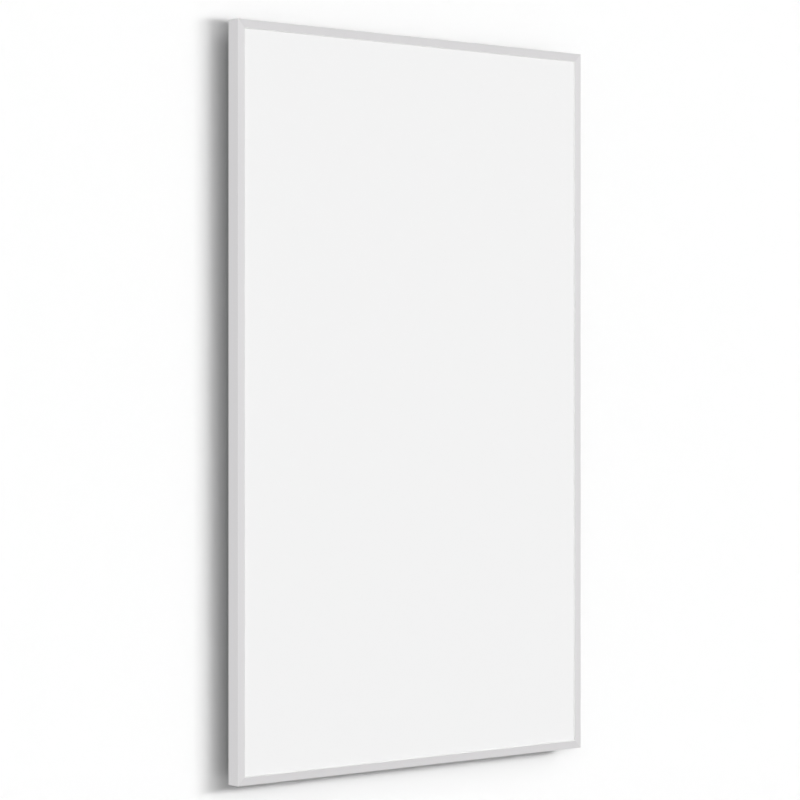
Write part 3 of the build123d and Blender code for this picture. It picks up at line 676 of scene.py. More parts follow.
def printed_carbon(name):
    """Black carbon print in level bands on a fine cloth."""
    material = finish(name, (0.03, 0.03, 0.03), 0.55)
    tree = material.node_tree
    apart = node(tree, "SeparateXYZ", Vector=on_piece(tree))
    bands = maths(tree, "SINE", maths(tree, "MULTIPLY", apart.outputs["Z"], tau / (CARBON_PITCH * MM)))
    recoloured(material, ranged(tree, bands, 0, 1, 0.55, 0.7), (0.022, 0.022, 0.023), (0.06, 0.06, 0.062))
    return raised(material, grouped(tree, "weave", Threads=2600.0).outputs["Height"], 0.008)


def mineral_board(name):
    """Pressed fibres, lying every way, in warm grey and straw."""
    material = finish(name, (0.62, 0.55, 0.36), 0.95, dull=0.03)
    tree = material.node_tree
    lie = swayed(tree, 30.0, 2.0, 0.015)
    layers = []
    for scales in ((60, 900, 900), (900, 900, 60), (500, 900, 500)):
        fibre = node(tree, "Mapping", Vector=lie, Scale=scales)
        layers.append(node(tree, "TexNoise", Vector=fibre.outputs[0], Scale=1.5, Detail=3.0).outputs[0])
    height = maths(tree, "MAXIMUM", maths(tree, "MAXIMUM", layers[0], layers[1]), layers[2])
    recoloured(material, ranged(tree, height, 0, 1, 0.45, 0.72), (0.4, 0.34, 0.2), (0.72, 0.66, 0.48))
    return raised(material, height, 0.3)


def creased_foil(name):
    """Bright foil, dented into small flats with a crease round each."""
    material = finish(name, (0.86, 0.86, 0.87), 0.2, metallic=1.0)
    tree = material.node_tree
    flats = node(tree, "TexVoronoi", Vector=on_piece(tree), Scale=55.0)
    tone = node(tree, "SeparateColor", Color=flats.outputs["Color"]).outputs[0]
    recoloured(material, tone, (0.79, 0.79, 0.8), (0.87, 0.87, 0.88))
    creases = node(tree, "TexVoronoi", Vector=on_piece(tree), Scale=55.0)
    creases.feature = "DISTANCE_TO_EDGE"
    return raised(material, ranged(tree, creases.outputs["Distance"], 0, 1, 0, 0.2), 0.3)


def lead_cover(name, colour):
    """The soft cover of a lead."""
    return grained(name, colour, 0.42, 1500.0, 0.003, patches=60.0)


def striped_lead(name, green, yellow):
    """A green lead with a yellow stripe along each side."""
    material = lead_cover(name, green)
    tree = material.node_tree
    apart = node(tree, "SeparateXYZ", Vector=on_piece(tree))
    off_axis = maths(tree, "ABSOLUTE", maths(tree, "SUBTRACT", apart.outputs["Y"], Y_POLE * MM))
    stripe = maths(tree, "LESS_THAN", off_axis, STRIPE_W / 2 * MM)
    return recoloured(material, stripe, green, yellow)


UPRIGHT_LINES = (900, 900, 5)
LEVEL_LINES = (5, 900, 900)
ALUMINIUM = (0.769, 0.759, 0.768)
FRAME_LOOKS = {"shade": 0.012, "patches": 4.0}
finishes = {
    "frame_aluminium": drawn_metal(
        "anodised_aluminium_upright", ALUMINIUM, 0.36, UPRIGHT_LINES, 0.004, **FRAME_LOOKS
    ),
    # The level rails run their die lines level, and their aluminium is painted 5.5 % darker than the
    # uprights': a painted shade for how the light falls on them.
    "frame_aluminium_level_painted_shade": drawn_metal(
        "anodised_aluminium_level_painted_shade", shaded(ALUMINIUM, 0.945), 0.36, LEVEL_LINES, 0.004, **FRAME_LOOKS
    ),
    "key_alloy": grained(
        "die_cast_alloy", (0.55, 0.55, 0.56), 0.5, 900.0, 0.02, metallic=1.0, patches=40.0
    ),
    "zinc_screws": grained(
        "bright_zinc", (0.68, 0.7, 0.73), 0.28, 1500.0, 0.003, metallic=1.0, patches=90.0
    ),
    "front_coating": grained(
        "white_powder_coating", (0.904, 0.904, 0.904), 0.48, 1100.0, 0.012, shade=0.004, patches=2.5
    ),
    "seal_silicone": grained("white_silicone", (0.88, 0.88, 0.875), 0.5, 800.0, 0.004, shade=0.01),
    "heating_laminate": woven_laminate("glass_laminate"),
    "heating_carbon": printed_carbon("carbon_print"),
    "busbar_copper": drawn_metal(
        "rolled_copper", (0.8, 0.42, 0.27), 0.32, UPRIGHT_LINES, 0.004, patches=30.0
    ),
    "cover_polyester": grained("polyester_film", (0.66, 0.64, 0.55), 0.3, 600.0, 0.004),
    "foil_aluminium": creased_foil("reflector_foil_metal"),
    "insulation_mineral": mineral_board("mineral_fibre_board"),
    "galvanised_sheet": galvanised("hot_dip_zinc"),
    "cutout_case": drawn_metal(
        "nickel_plated_case", (0.62, 0.61, 0.58), 0.34, LEVEL_LINES, 0.003, patches=70.0
    ),
    "lead_brown": lead_cover("brown_lead", (0.13, 0.05, 0.02)),
    "lead_blue": lead_cover("blue_lead", (0.02, 0.1, 0.38)),
    "lead_green": striped_lead("green_and_yellow_lead", (0.05, 0.28, 0.07), (0.75, 0.62, 0.05)),
    "tinned_copper": drawn_metal("tin_plate", (0.72, 0.72, 0.71), 0.3, LEVEL_LINES, 0.003, patches=90.0),
    "grommet_rubber": grained("black_rubber", (0.02, 0.02, 0.02), 0.62, 900.0, 0.02, patches=60.0),
    "terminal_nylon": grained("natural_nylon", (0.76, 0.75, 0.69), 0.45, 900.0, 0.008, patches=40.0),
    "terminal_brass": drawn_metal(
        "nickel_brass", (0.72, 0.58, 0.32), 0.3, UPRIGHT_LINES, 0.003, patches=60.0
    ),
    "box_plastic": grained(
        "moulded_black_plastic", (0.022, 0.022, 0.024), 0.5, 1600.0, 0.03, patches=25.0
    ),
    "gland_nylon": grained("black_nylon", (0.018, 0.018, 0.02), 0.38, 900.0, 0.006, patches=60.0),
    "rail_zinc": drawn_metal(
        "zinc_plated_strip", (0.63, 0.65, 0.67), 0.3, UPRIGHT_LINES, 0.012, shade=0.08, patches=14.0
    ),
    "rivet_aluminium": grained(
        "rivet_metal", (0.72, 0.72, 0.73), 0.3, 1200.0, 0.003, metallic=1.0, patches=90.0
    ),
    "button_nylon": grained("white_nylon", (0.8, 0.8, 0.77), 0.42, 700.0, 0.004, patches=60.0),
}


# ---------------- stage, light and camera

def first_look(tree, path):
    """1 for what is seen straight, in a gloss or through glass, and 0 for light's own bounces."""
    seen = path.outputs["Is Camera Ray"]
    for label in ("Is Glossy Ray", "Is Transmission Ray"):
        seen = maths(tree, "MAXIMUM", seen, path.outputs[label])
    return maths(tree, "MULTIPLY", seen, maths(tree, "LESS_THAN", path.outputs["Diffuse Depth"], 0.5))


def stage_material(name, in_gloss):
    """White from the front alone: shadowed for the camera, plain in a gloss, and no bar to light."""
    material = bpy.data.materials.new(name)
    material.use_nodes = True
    tree = material.node_tree
    tree.nodes.remove(tree.nodes["Principled BSDF"])
    path = node(tree, "LightPath")
    front = maths(tree, "SUBTRACT", 1.0, node(tree, "NewGeometry").outputs["Backfacing"])
    shown = maths(tree, "MULTIPLY", front, first_look(tree, path))
    lit = node(tree, "BsdfDiffuse", Color=(1, 1, 1, 1))
    plain = node(tree, "Emission", Strength=in_gloss)
    surface = node(tree, "MixShader", Fac=path.outputs["Is Camera Ray"])
    tree.links.new(plain.outputs[0], surface.inputs[1])
    tree.links.new(lit.outputs[0], surface.inputs[2])
    mix = node(tree, "MixShader", Fac=shown)
    tree.links.new(node(tree, "BsdfTransparent").outputs[0], mix.inputs[1])
    tree.links.new(surface.outputs[0], mix.inputs[2])
    tree.links.new(mix.outputs[0], tree.nodes["Material Output"].inputs["Surface"])
    return material


def make_stage():
    """A white wall, and a white floor well below."""
    reach = STAGE_REACH * MM
    middle = reach + FLOOR_AT * MM
    for name, location, turn, in_gloss in (
        ("wall", (0, WALL_AT * MM, middle), radians(90), WALL_IN_GLOSS),
        ("floor", (0, 0, FLOOR_AT * MM), 0, FLOOR_IN_GLOSS),
    ):
        bpy.ops.object.select_all(action="DESELECT")
        bpy.ops.mesh.primitive_plane_add(size=2 * reach, location=location, rotation=(turn, 0, 0))
        sheet = bpy.context.object
        sheet.name = name
        sheet.data.materials.append(stage_material(f"pale_{name}", in_gloss))


def make_world():
    """White where it is seen or mirrored, and faint as a light."""
    world = bpy.data.worlds.new("studio")
    bpy.context.scene.world = world
    world.use_nodes = True
    world.cycles.sampling_method = "NONE"  # it is even, so rays find it by themselves
    tree = world.node_tree
    seen = first_look(tree, node(tree, "LightPath"))
    background = tree.nodes["Background"]
    tree.links.new(ranged(tree, seen, AMBIENT, 1.0, 0, 1), background.inputs["Strength"])
    background.inputs["Color"].default_value = (1, 1, 1, 1)


def lamp(name, right, up, strength, spread):
    """A far soft lamp; right and up are degrees from the front's normal."""
    light = bpy.data.lights.new(name, "SUN")
    light.energy = strength
    light.angle = radians(spread)
    level = cos(radians(up))
    towards = Vector((sin(radians(right)) * level, -cos(radians(right)) * level, sin(radians(up))))
    carrier = added(name, light)
    carrier.rotation_euler = (-towards).to_track_quat("-Z", "Y").to_euler()
    carrier.visible_glossy = False


def strip_lamp(name, right, share, spread):
    """A soft lamp some metres off that lights the whole wall alike."""
    light = bpy.data.lights.new(name, "POINT")
    light.shadow_soft_size = STRIP_AT * MM * tan(radians(spread / 2))
    out = STRIP_AT * MM * cos(radians(right))
    light.energy = share * (2 * pi) ** 2 / out
    light.use_nodes = True
    tree = light.node_tree
    # The wall takes out / ray length of a ray's light, so a ray's light grows with its length.
    steady = node(tree, "LightFalloff", Strength=1.0).outputs["Constant"]
    even = maths(tree, "MULTIPLY", steady, node(tree, "LightPath").outputs["Ray Length"])
    tree.links.new(even, tree.nodes["Emission"].inputs["Strength"])
    carrier = added(name, light)
    carrier.location = ((STRIP_AT * sin(radians(right)) - HALF_W) * MM, -out, STRIP_Z * MM)
    carrier.visible_glossy = False


def make_camera():
    """A level camera with a long lens, shifted so that uprights stay upright."""
    camera = bpy.data.cameras.new("camera")
    camera.sensor_width = 36.0
    camera.lens = CAMERA_LENS
    camera.shift_y = CAMERA_SHIFT
    carrier = added("camera", camera)
    carrier.location = CAMERA_PLACE
    carrier.rotation_euler = (radians(90), 0, radians(CAMERA_TURN))
    bpy.context.scene.camera = carrier


make_stage()
make_world()
for number, (right, share, spread) in enumerate(STRIP, 1):
    strip_lamp(f"strip_{number}", right, (1 - AMBIENT) * share, spread)
for number, (right, up, share, spread) in enumerate(FILLS, 1):
    facing = cos(radians(right)) * cos(radians(up))
    lamp(f"fill_{number}", right, up, (1 - AMBIENT) * share * pi / facing, spread)
for rear_lamp in REAR_LAMPS:
    lamp(*rear_lamp)
make_camera()
bpy.context.scene.view_settings.view_transform = "Standard"


# ---------------- fasteners

def thread(radius, start, end):
    """The outline of a thread's ridges, down a shank from start to end."""
    points = []
    height = start
    while height - SCREW_PITCH > end + SCREW_PITCH / 2:
        points += [(radius, height - SCREW_PITCH * 0.35), (radius * SCREW_CORE, height - SCREW_PITCH)]
        height -= SCREW_PITCH
    return points + [(radius * 0.6, end), (0, end)]


def cross_recess(top, radius):
    """A cutter for a cross recess that narrows downwards."""
    arm, half, depth, over = radius, radius * 0.24, radius * 0.9, 0.1
    quarter = [(arm, half), (half, half), (half, arm)]
    outline = []
    for turn in range(4):
        outline += [Matrix.Rotation(turn * pi / 2, 2) @ Vector(point) for point in quarter]
    piece = begin("recess")
    draw([(x, y, top + over) for x, y in outline], closed=True)
    face_over()
    bpy.ops.mesh.extrude_region_move(TRANSFORM_OT_translate={"value": (0, 0, -depth * MM)})
    bpy.ops.transform.resize(value=(0.5, 0.5, 1), center_override=(0, 0, 0))
    close_up()
    return piece


def pan_screw(name, radius, length, head_r, head_h, slotted=False):
    """A screw whose domed head rests on local Z = 0."""
    head = [
        (0, head_h),
        (head_r * 0.5, head_h * 0.98),
        (head_r * 0.78, head_h * 0.84),
        (head_r * 0.94, head_h * 0.55),
        (head_r, head_h * 0.25),
        (head_r * 0.97, 0),
        (radius * SCREW_CORE, 0),
    ]
    screw = spun(name, head + thread(radius, 0, -length), sides=28)
    if slotted:
        slot = slab("slot", rectangle(3 * head_r, head_r * 0.26), head_h, head_h * 0.45)
        return carve(screw, slot)
    return carve(screw, cross_recess(head_h, head_r * 0.55))


def hex_nut(name, across, height, hole_r, mouth_r, fall, sides=32):
    """A nut on local Z = 0 whose hole widens to its mouths."""
    nut = hexed(name, across, 0, height)
    bore = [(0, -1), (mouth_r, -1), (hole_r, fall)]
    bore += [(hole_r, height - fall), (mouth_r, height + 1), (0, height + 1)]
    return carve(nut, spun("bore", bore, sides))


def sunk_screw(name, radius, length, head_r, head_h):
    """A countersunk screw whose flat head ends at local Z = 0."""
    top = -0.02
    head = [(0, top), (head_r * 0.9, top), (head_r, top - 0.1), (head_r, top - 0.2)]
    head += [(radius * SCREW_CORE, -head_h)]
    screw = spun(name, head + thread(radius, -head_h, -length), sides=28)
    return carve(screw, cross_recess(top, head_r * 0.55))


# ---------------- frame

def mitred(name, outlines, length, reach, gap=0.0, capped=False):
    """An upright length cut at 45 degrees; its outlines run inwards from its outer side and its front."""
    piece = begin(name)
    for outline in outlines:
        draw([(x - reach, y + Y_FRONT, -length / 2 - 2 * FRAME_FACE) for x, y in outline], closed=True)
    merge_all()
    long_way = (0, 0, (length + 4 * FRAME_FACE) * MM)
    bpy.ops.mesh.extrude_edges_move(TRANSFORM_OT_translate={"value": long_way})
    for side in (-1, 1):
        bpy.ops.mesh.select_all(action="SELECT")
        bpy.ops.mesh.bisect(
            plane_co=(-reach * MM, 0, side * (length / 2 - gap) * MM),
            plane_no=(1, 0, side),
            clear_outer=True,
        )
        if capped:
            bpy.ops.mesh.fill()
    close_up()
    return piece


def frame_member(name, length, reach, turn, finish_name):
    """One mitred length of the extrusion, drawn upright with its outer side at x = -reach."""
    outer = rounded([
        (0, 0, EDGE_R),
        (FRAME_FACE, 0, LIP_R),
        (FRAME_FACE, FRAME_WALL, 0),
        (POCKET_AT, FRAME_WALL, 0),
        (POCKET_AT, FRAME_DEPTH - FRAME_WALL, 0),
        (FRAME_FACE, FRAME_DEPTH - FRAME_WALL, 0),
        (FRAME_FACE, FRAME_DEPTH, LIP_R),
        (0, FRAME_DEPTH, REAR_R),
    ])
    chamber = [
        (FRAME_WALL, FRAME_WALL),
        (FRAME_WEB_AT, FRAME_WALL),
        (FRAME_WEB_AT, FRAME_DEPTH - FRAME_WALL),
        (FRAME_WALL, FRAME_DEPTH - FRAME_WALL),
    ]
    piece = mitred(name, (outer, chamber), length, reach, JOINT_GAP, capped=True)
    sink_r = KEY_SCREW_HEAD_R + 0.05
    over = 0.5
    sink = spun("sink", [
        (0, over),
        (sink_r + over, over),
        (sink_r, 0),
        (KEY_SCREW_HOLE_R, -FRAME_WALL),
        (KEY_SCREW_HOLE_R, -FRAME_WALL - over),
        (0, -FRAME_WALL - over),
    ])
    ends = (KEY_SCREW_AT - length / 2, length / 2 - KEY_SCREW_AT)
    carve(piece, copies(sink, seats(Y_REAR, [(CHAMBER_MID - reach, z) for z in ends])))
    place(piece, Matrix.Rotation(radians(turn), 4, "Y"))
    finished(piece, "panel", "frame_aluminium", name.replace("extrusion", "frame"))
    wear(piece, finish_name)


for name, length, reach, turn, finish_name in (
    ("extrusion_left_stile", 2 * HALF_H, HALF_W, 0, "frame_aluminium"),
    ("extrusion_right_stile", 2 * HALF_H, HALF_W, 180, "frame_aluminium"),
    ("extrusion_top_rail", 2 * HALF_W, HALF_H, 90, "frame_aluminium_level_painted_shade"),
    ("extrusion_bottom_rail", 2 * HALF_W, HALF_H, -90, "frame_aluminium_level_painted_shade"),
):
    frame_member(name, length, reach, turn, finish_name)


def make_bead():
    """The seal between lip and plate, whose bead fills the corner inside the lip."""
    plate_at = corners("front_plate")[0].y - Y_FRONT
    low, high = corners("front_seal")
    outline = rounded([
        (HALF_W - high.x, low.y - Y_FRONT, 0),
        (FRAME_FACE, low.y - Y_FRONT, 0),
        (FRAME_FACE, LIP_R, 0),
        (FRAME_FACE + BEAD_W * 0.8, (LIP_R + plate_at) / 2, BEAD_W * 0.5),
        (FRAME_FACE + BEAD_W, plate_at, 0),
        (HALF_W - high.x, plate_at, 0),
    ])
    runs = []
    for length, reach, turn in ((2 * HALF_H, HALF_W, 0), (2 * HALF_W, HALF_H, 90)):
        for half_turn in (0, 180):
            run = mitred("run", [outline], length, reach)
            runs.append(place(run, Matrix.Rotation(radians(turn + half_turn), 4, "Y")))
    bead = joined("silicone_bead", runs)
    only(bead)
    mode("EDIT")
    close_up()
    finished(bead, "panel", "seal_silicone", "front_seal")


def make_key_screws():
    """The screws through the frame's rear into the corner keys."""
    spots = four(HALF_W - CHAMBER_MID, HALF_H - KEY_SCREW_AT)
    spots += four(HALF_W - KEY_SCREW_AT, HALF_H - CHAMBER_MID)
    screw = sunk_screw("corner_screws", 1.5, 9.0, KEY_SCREW_HEAD_R, FRAME_WALL)
    finished(copies(screw, seats(Y_REAR, spots)), "panel", "zinc_screws", "corner_key_screws")


make_bead()
make_key_screws()


# ---------------- hanger rails, rivets and buttons

def hanger_rail(name, x, node_name):
    """A hat section of bent strip with two keyholes."""
    foot, crown = Y_BACK_PLATE, RAIL_HIGH.y
    inside = RAIL_CROWN - RAIL_T
    edge = RAIL_HIGH.x - RAIL_X
    bend_out = RAIL_BEND + RAIL_T
    half = [
        (edge, foot, 0),
        (edge, foot + RAIL_T, 0),
        (RAIL_CROWN, foot + RAIL_T, RAIL_BEND),
        (RAIL_CROWN, crown, bend_out),
    ]
    inner_half = [(inside, crown - RAIL_T, RAIL_BEND), (inside, foot, bend_out)]
    outline = half + [(-px, py, r) for px, py, r in reversed(half)]
    outline += [(-px, py, r) for px, py, r in reversed(inner_half)] + inner_half
    rail = slab(name, rounded(outline), RAIL_HIGH.z - RAIL_LOW.z, RAIL_LOW.z)
    soften(rail, 0.15, 1)
    cut_low, cut_high = -3 * RAIL_T, RAIL_T
    slot_end = -KEYHOLE_DROP - KEYHOLE_SLOT_R
    slot_outline = rounded([
        (-KEYHOLE_SLOT_R, 0, 0),
        (-KEYHOLE_SLOT_R, slot_end, KEYHOLE_SLOT_R),
        (KEYHOLE_SLOT_R, slot_end, KEYHOLE_SLOT_R),
        (KEYHOLE_SLOT_R, 0, 0),
    ], 10)
    for z in (BUTTON_Z, -BUTTON_Z):
        at_entry = seat(0, crown, z - KEYHOLE_DROP, TO_WALL)
        carve(rail, place(rod(KEYHOLE_ENTRY_R, cut_low, cut_high, 48), at_entry))
        carve(rail, place(slab("slot", slot_outline, cut_high - cut_low, cut_low), at_entry))
    holes = seats(foot, grid((-RIVET_X, RIVET_X), RIVET_ROWS))
    drilled(rail, RIVET_HOLE_R, -1, RAIL_T + 1.8, holes)
    place(rail, Matrix.Translation((x * MM, 0, 0)))
    finished(rail, "panel", "rail_zinc", node_name)


def make_rivets():
    """Three blind rivets in each flange of the rails."""
    rivet = spun("blind_rivets", [
        (0, 0.7), (0.7, 0.65), (0.85, 0.45), (1.0, 0.4), (1.15, 1.15), (1.35, 1.3), (2.2, 1.22),
        (3.2, 0.85), (3.8, 0.4), (4.0, 0.15), (3.9, 0), (2.0, 0), (2.0, -1.7), (2.4, -2.0),
        (2.9, -2.9), (2.9, -4.0), (2.4, -4.9), (1.5, -5.2), (0, -5.2),
    ])
    flanges = [rail_x + side * RIVET_X for rail_x in (-RAIL_X, RAIL_X) for side in (-1, 1)]
    rivets = copies(rivet, seats(Y_BACK_PLATE + RAIL_T, grid(flanges, RIVET_ROWS)))
    finished(rivets, "panel", "rivet_aluminium", "hanger_rivets")


def make_buttons():
    """The buttons on the wall, each with a foot, a neck and a head round its screw hole."""
    button = spun("hanging_buttons", [
        (2.5, 0), (8.6, 0), (BUTTON_R, 0.4), (BUTTON_R, 2.6), (8.6, 3.0), (4.4, 3.0), (4.0, 3.4),
        (4.0, 4.9), (4.2, 5.2), (6.6, 5.2), (7.0, 5.6), (7.0, 7.7), (6.8, 8.05), (6.4, 8.2),
        (4.9, 8.2), (2.5, 5.9),
    ], sides=64)
    buttons = copies(button, seats(0, four(RAIL_X, BUTTON_Z), FROM_WALL))
    finished(buttons, "wall_mount", "button_nylon", "wall_buttons")


hanger_rail("hanging_rail_left", -RAIL_X, "hanger_rail_left")
hanger_rail("hanging_rail_right", RAIL_X, "hanger_rail_right")
make_rivets()
make_buttons()


# ---------------- junction box

BASE_DEPTH = BASE_HIGH.y - BASE_LOW.y
BOX_W = BASE_HIGH.x - BASE_LOW.x
BOX_H = BASE_HIGH.z - BASE_LOW.z
POLES = (-POLE_PITCH, 0, POLE_PITCH)
LEAD_SPOTS = [(-POLE_PITCH, LEAD_Z), (POLE_PITCH, LEAD_Z)]
LID_SCREW_SPOTS = [(x, BOX_Z + z) for x, z in four(BOSS_X, BOSS_Z)]
BOX_SCREW_SPOTS = [(x, BOX_Z + z) for x, z in four(BOX_SCREW_X, BOX_SCREW_Z)]
BLOCK_SCREW_SPOTS = [(-POLE_PITCH / 2, BLOCK_Z), (POLE_PITCH / 2, BLOCK_Z)]
CLAMP_SCREW_SPOTS = grid(POLES, [BLOCK_Z + z for z in CLAMP_ROWS])


def box_outline(inwards, steps=8):
    """The box's outline, moved inwards."""
    return rectangle(BOX_W - 2 * inwards, BOX_H - 2 * inwards, BOX_R - inwards, steps)


def make_box_base():
    """The box's base with its four bosses, screw holes, lead holes and the gland's hole."""
    base = slab("box_base", box_outline(0), BASE_DEPTH)
    soften(base, 0.3)
    carve(base, slab("room", box_outline(BOX_WALL, 6), BASE_DEPTH, BOX_WALL))
    sunk, short = 0.1, 0.02  # into the floor, and of the rim
    boss = rod(BOSS_R, sunk, BASE_DEPTH - short)
    carve(base, copies(boss, standing(four(BOSS_X, BOSS_Z))), "UNION")
    place(base, seat(0, Y_BACK_PLATE, BOX_Z, TO_WALL))
    drilled(base, LID_SCREW_HOLE_R, -10, 1, seats(BASE_HIGH.y, LID_SCREW_SPOTS))
    through = BOX_WALL + 1
    for radius, spots in (
        (BOX_SCREW_HOLE_R, BOX_SCREW_SPOTS),
        (GROMMET_HOLE_R, LEAD_SPOTS),
        (EARTH_HOLE_R, [(EARTH_X, EARTH_Z)]),
    ):
        for spot in spots:
            drilled(base, radius, -1, through, seats(Y_BACK_PLATE, [spot]))
    for spot in BLOCK_SCREW_SPOTS:
        drilled(base, BLOCK_SCREW_HOLE_R, -BOX_WALL / 2, 1, seats(Y_BOX_FLOOR, [spot]))
    drilled(base, GLAND_HOLE_R, -1, through, [seat(0, GLAND_Y, GLAND_Z, UPWARDS)])
    finished(base, "panel", "box_plastic", "junction_box_base")


def make_box_lid():
    """The lid with its sunk field, and the rubber seal under it."""
    thick = LID_HIGH.y - LID_LOW.y
    lid = slab("box_lid", box_outline(0), thick)
    bevel_rim(lid, thick, 0.8, 4)
    field = rectangle(BOX_W - 2 * FIELD_AT, BOX_H - 2 * FIELD_AT, 2.0)
    carve(lid, soften(slab("pool", field, 1.0, thick - FIELD_DEPTH), 0.2))
    place(lid, seat(0, LID_LOW.y, BOX_Z, TO_WALL))
    drilled(lid, LID_SCREW_HOLE_R, -1, thick + 1, seats(LID_LOW.y, LID_SCREW_SPOTS))
    finished(lid, "panel", "box_plastic", "junction_box_lid")

    thick = LID_LOW.y - BASE_HIGH.y
    ring = slab("lid_gasket", box_outline(SEAL_OUTER), thick)
    carve(ring, slab("room", box_outline(SEAL_INNER), thick + 2, -1))
    soften(ring, 0.15)
    place(ring, seat(0, BASE_HIGH.y, BOX_Z, TO_WALL))
    finished(ring, "panel", "grommet_rubber", "lid_seal")


make_box_base()
make_box_lid()

# The sizes are shank radius, length, head radius and head height, and y is where the head rests.
for name, size, slotted, y, spots, node_name in (
    ("cover_screws", (1.5, 10.0, 2.7, 1.8), False, LID_HIGH.y, LID_SCREW_SPOTS, "lid_screws"),
    ("plate_screws", (1.6, 8.0, 3.1, 2.0), False, Y_BOX_FLOOR, BOX_SCREW_SPOTS, "box_screws"),
    ("block_screws", (1.2, 13.1, 2.0, 1.3), False, Y_BOX_FLOOR + BLOCK_FLAT_H, BLOCK_SCREW_SPOTS,
     "terminal_block_screws"),
    ("clamp_screws", (1.25, 5.5, 1.9, 1.5), True, Y_POLE + CLAMP_HEAD_AT, CLAMP_SCREW_SPOTS,
     "terminal_screws"),
):
    screws = copies(pan_screw(name, *size, slotted=slotted), seats(y, spots))
    finished(screws, "panel", "zinc_screws", node_name)


# ---------------- cable gland

def ridges(radius, low, high, pitch):
    """The outline of a thread's ridges, upwards from low to high."""
    points = []
    height = low
    while height + pitch < high:
        points += [(radius, height + pitch * 0.3), (radius, height + pitch * 0.5)]
        points += [(radius - 0.35, height + pitch * 0.9)]
        height += pitch
    return points


def make_gland():
    """The cable gland: its stem with two threads, the locknut, the rubber bush and the domed cap."""
    hex_z, neck_z, end_z = 10.2, 14.7, 23.7  # below the gland's inner end
    across, nut_h = 15.0, 4.0
    body = hexed("gland_stem", across, hex_z, neck_z)
    core = [(0, 0), (5.5, 0)] + ridges(6.0, 0.4, hex_z, 1.4) + [(5.6, hex_z + 1), (5.6, neck_z)]
    core += ridges(5.6, neck_z, end_z - 0.6, 1.4) + [(5.2, end_z), (0, end_z)]
    carve(body, spun("core", core, sides=48), "UNION")
    floor_z = neck_z + 2.0
    bore = [(0, -1), (3.9, -1), (3.25, 0.6), (3.25, floor_z)]
    bore += [(4.4, floor_z), (4.4, end_z + 1), (0, end_z + 1)]
    carve(body, spun("bore", bore, sides=48))
    place(body, seat(0, GLAND_Y, GLAND_Z + hex_z, DOWNWARDS))
    finished(body, "panel", "gland_nylon", "gland_body")

    nut = hex_nut("gland_nut", across + 1, nut_h, GLAND_HOLE_R, 6.6, 0.4, sides=48)
    place(nut, seat(0, GLAND_Y, GLAND_Z + BOX_WALL + nut_h, DOWNWARDS))
    finished(nut, "panel", "gland_nylon", "gland_locknut")

    seal = spun("gland_bush", [
        (3.2, 0.4), (3.6, 0), (4.1, 0), (4.35, 0.3), (4.35, 6.7), (4.1, 7.0), (3.6, 7.0), (3.2, 6.6)
    ], sides=48)
    place(seal, seat(0, GLAND_Y, GLAND_Z + hex_z - floor_z, DOWNWARDS))
    finished(seal, "panel", "grommet_rubber", "gland_seal")

    cap = hexed("gland_dome", across, 0, 7.0)
    dome = [(0, 5.0), (7.3, 5.0), (7.42, 7.0), (7.3, 8.2), (6.95, 9.4)]
    dome += [(6.4, 10.6), (5.7, 11.6), (5.0, 12.0), (0, 12.0)]
    carve(cap, spun("dome", dome, sides=64), "UNION")
    room = [(0, -1), (5.65, -1), (5.65, 9.05), (4.4, 9.4), (3.9, 10.6), (4.2, 12.0), (4.6, 12.5), (0, 12.5)]
    carve(cap, spun("room", room, sides=48))
    place(cap, seat(0, GLAND_Y, GLAND_Z + hex_z - neck_z - 0.05, DOWNWARDS))
    finished(cap, "panel", "gland_nylon", "gland_cap", angle=30)


make_gland()


# ---------------- terminal block

def make_terminal_block():
    """The three-pole block, with a tower for each clamp screw, and its metal tubes."""
    block_l = BLOCK_HIGH.z - BLOCK_LOW.z
    block_w = BLOCK_HIGH.x - BLOCK_LOW.x
    pole_h, top_h = Y_POLE - Y_BOX_FLOOR, BLOCK_HIGH.y - BLOCK_LOW.y
    body = slab("connector_block", rectangle(block_w, block_l, 0.8, 4), BLOCK_FLAT_H)
    soften(body, 0.4)
    towers = standing(grid(POLES, CLAMP_ROWS))
    foot_h = BLOCK_FLAT_H - 1
    tower_r, tower_bore_r, pole_bore_r, clamp_hole_r = 3.4, 2.1, 2.35, 1.3
    tower = spun("tower", [
        (0, foot_h), (tower_r, foot_h), (tower_r, top_h - 0.5), (tower_r - 0.3, top_h), (0, top_h),
    ])
    carve(body, copies(tower, towers), "UNION")
    drilled(body, tower_bore_r, pole_h + 0.3, top_h + 1, towers)
    place(body, seat(0, Y_BOX_FLOOR, BLOCK_Z, TO_WALL))
    poles = seats(Y_POLE, grid(POLES, [BLOCK_Z]), UPWARDS)
    drilled(body, pole_bore_r, -block_l, block_l, poles)
    drilled(body, BLOCK_SCREW_HOLE_R, -1, BLOCK_FLAT_H + 1, seats(Y_BOX_FLOOR, BLOCK_SCREW_SPOTS))
    finished(body, "panel", "terminal_nylon", "terminal_block")

    half = 8.0  # of a tube's length
    tube = spun("clamp_tubes", [
        (1.0, 0.3 - half), (1.3, -half), (2.1, -half), (2.3, 0.2 - half),
        (2.3, half - 0.2), (2.1, half), (1.3, half), (1.0, half - 0.3),
    ])
    tubes = copies(tube, poles)
    drilled(tubes, clamp_hole_r, 0, 4, seats(Y_POLE, CLAMP_SCREW_SPOTS))
    finished(tubes, "panel", "terminal_brass", "terminal_inserts")


make_terminal_block()


# ---------------- leads, cut-outs and earth

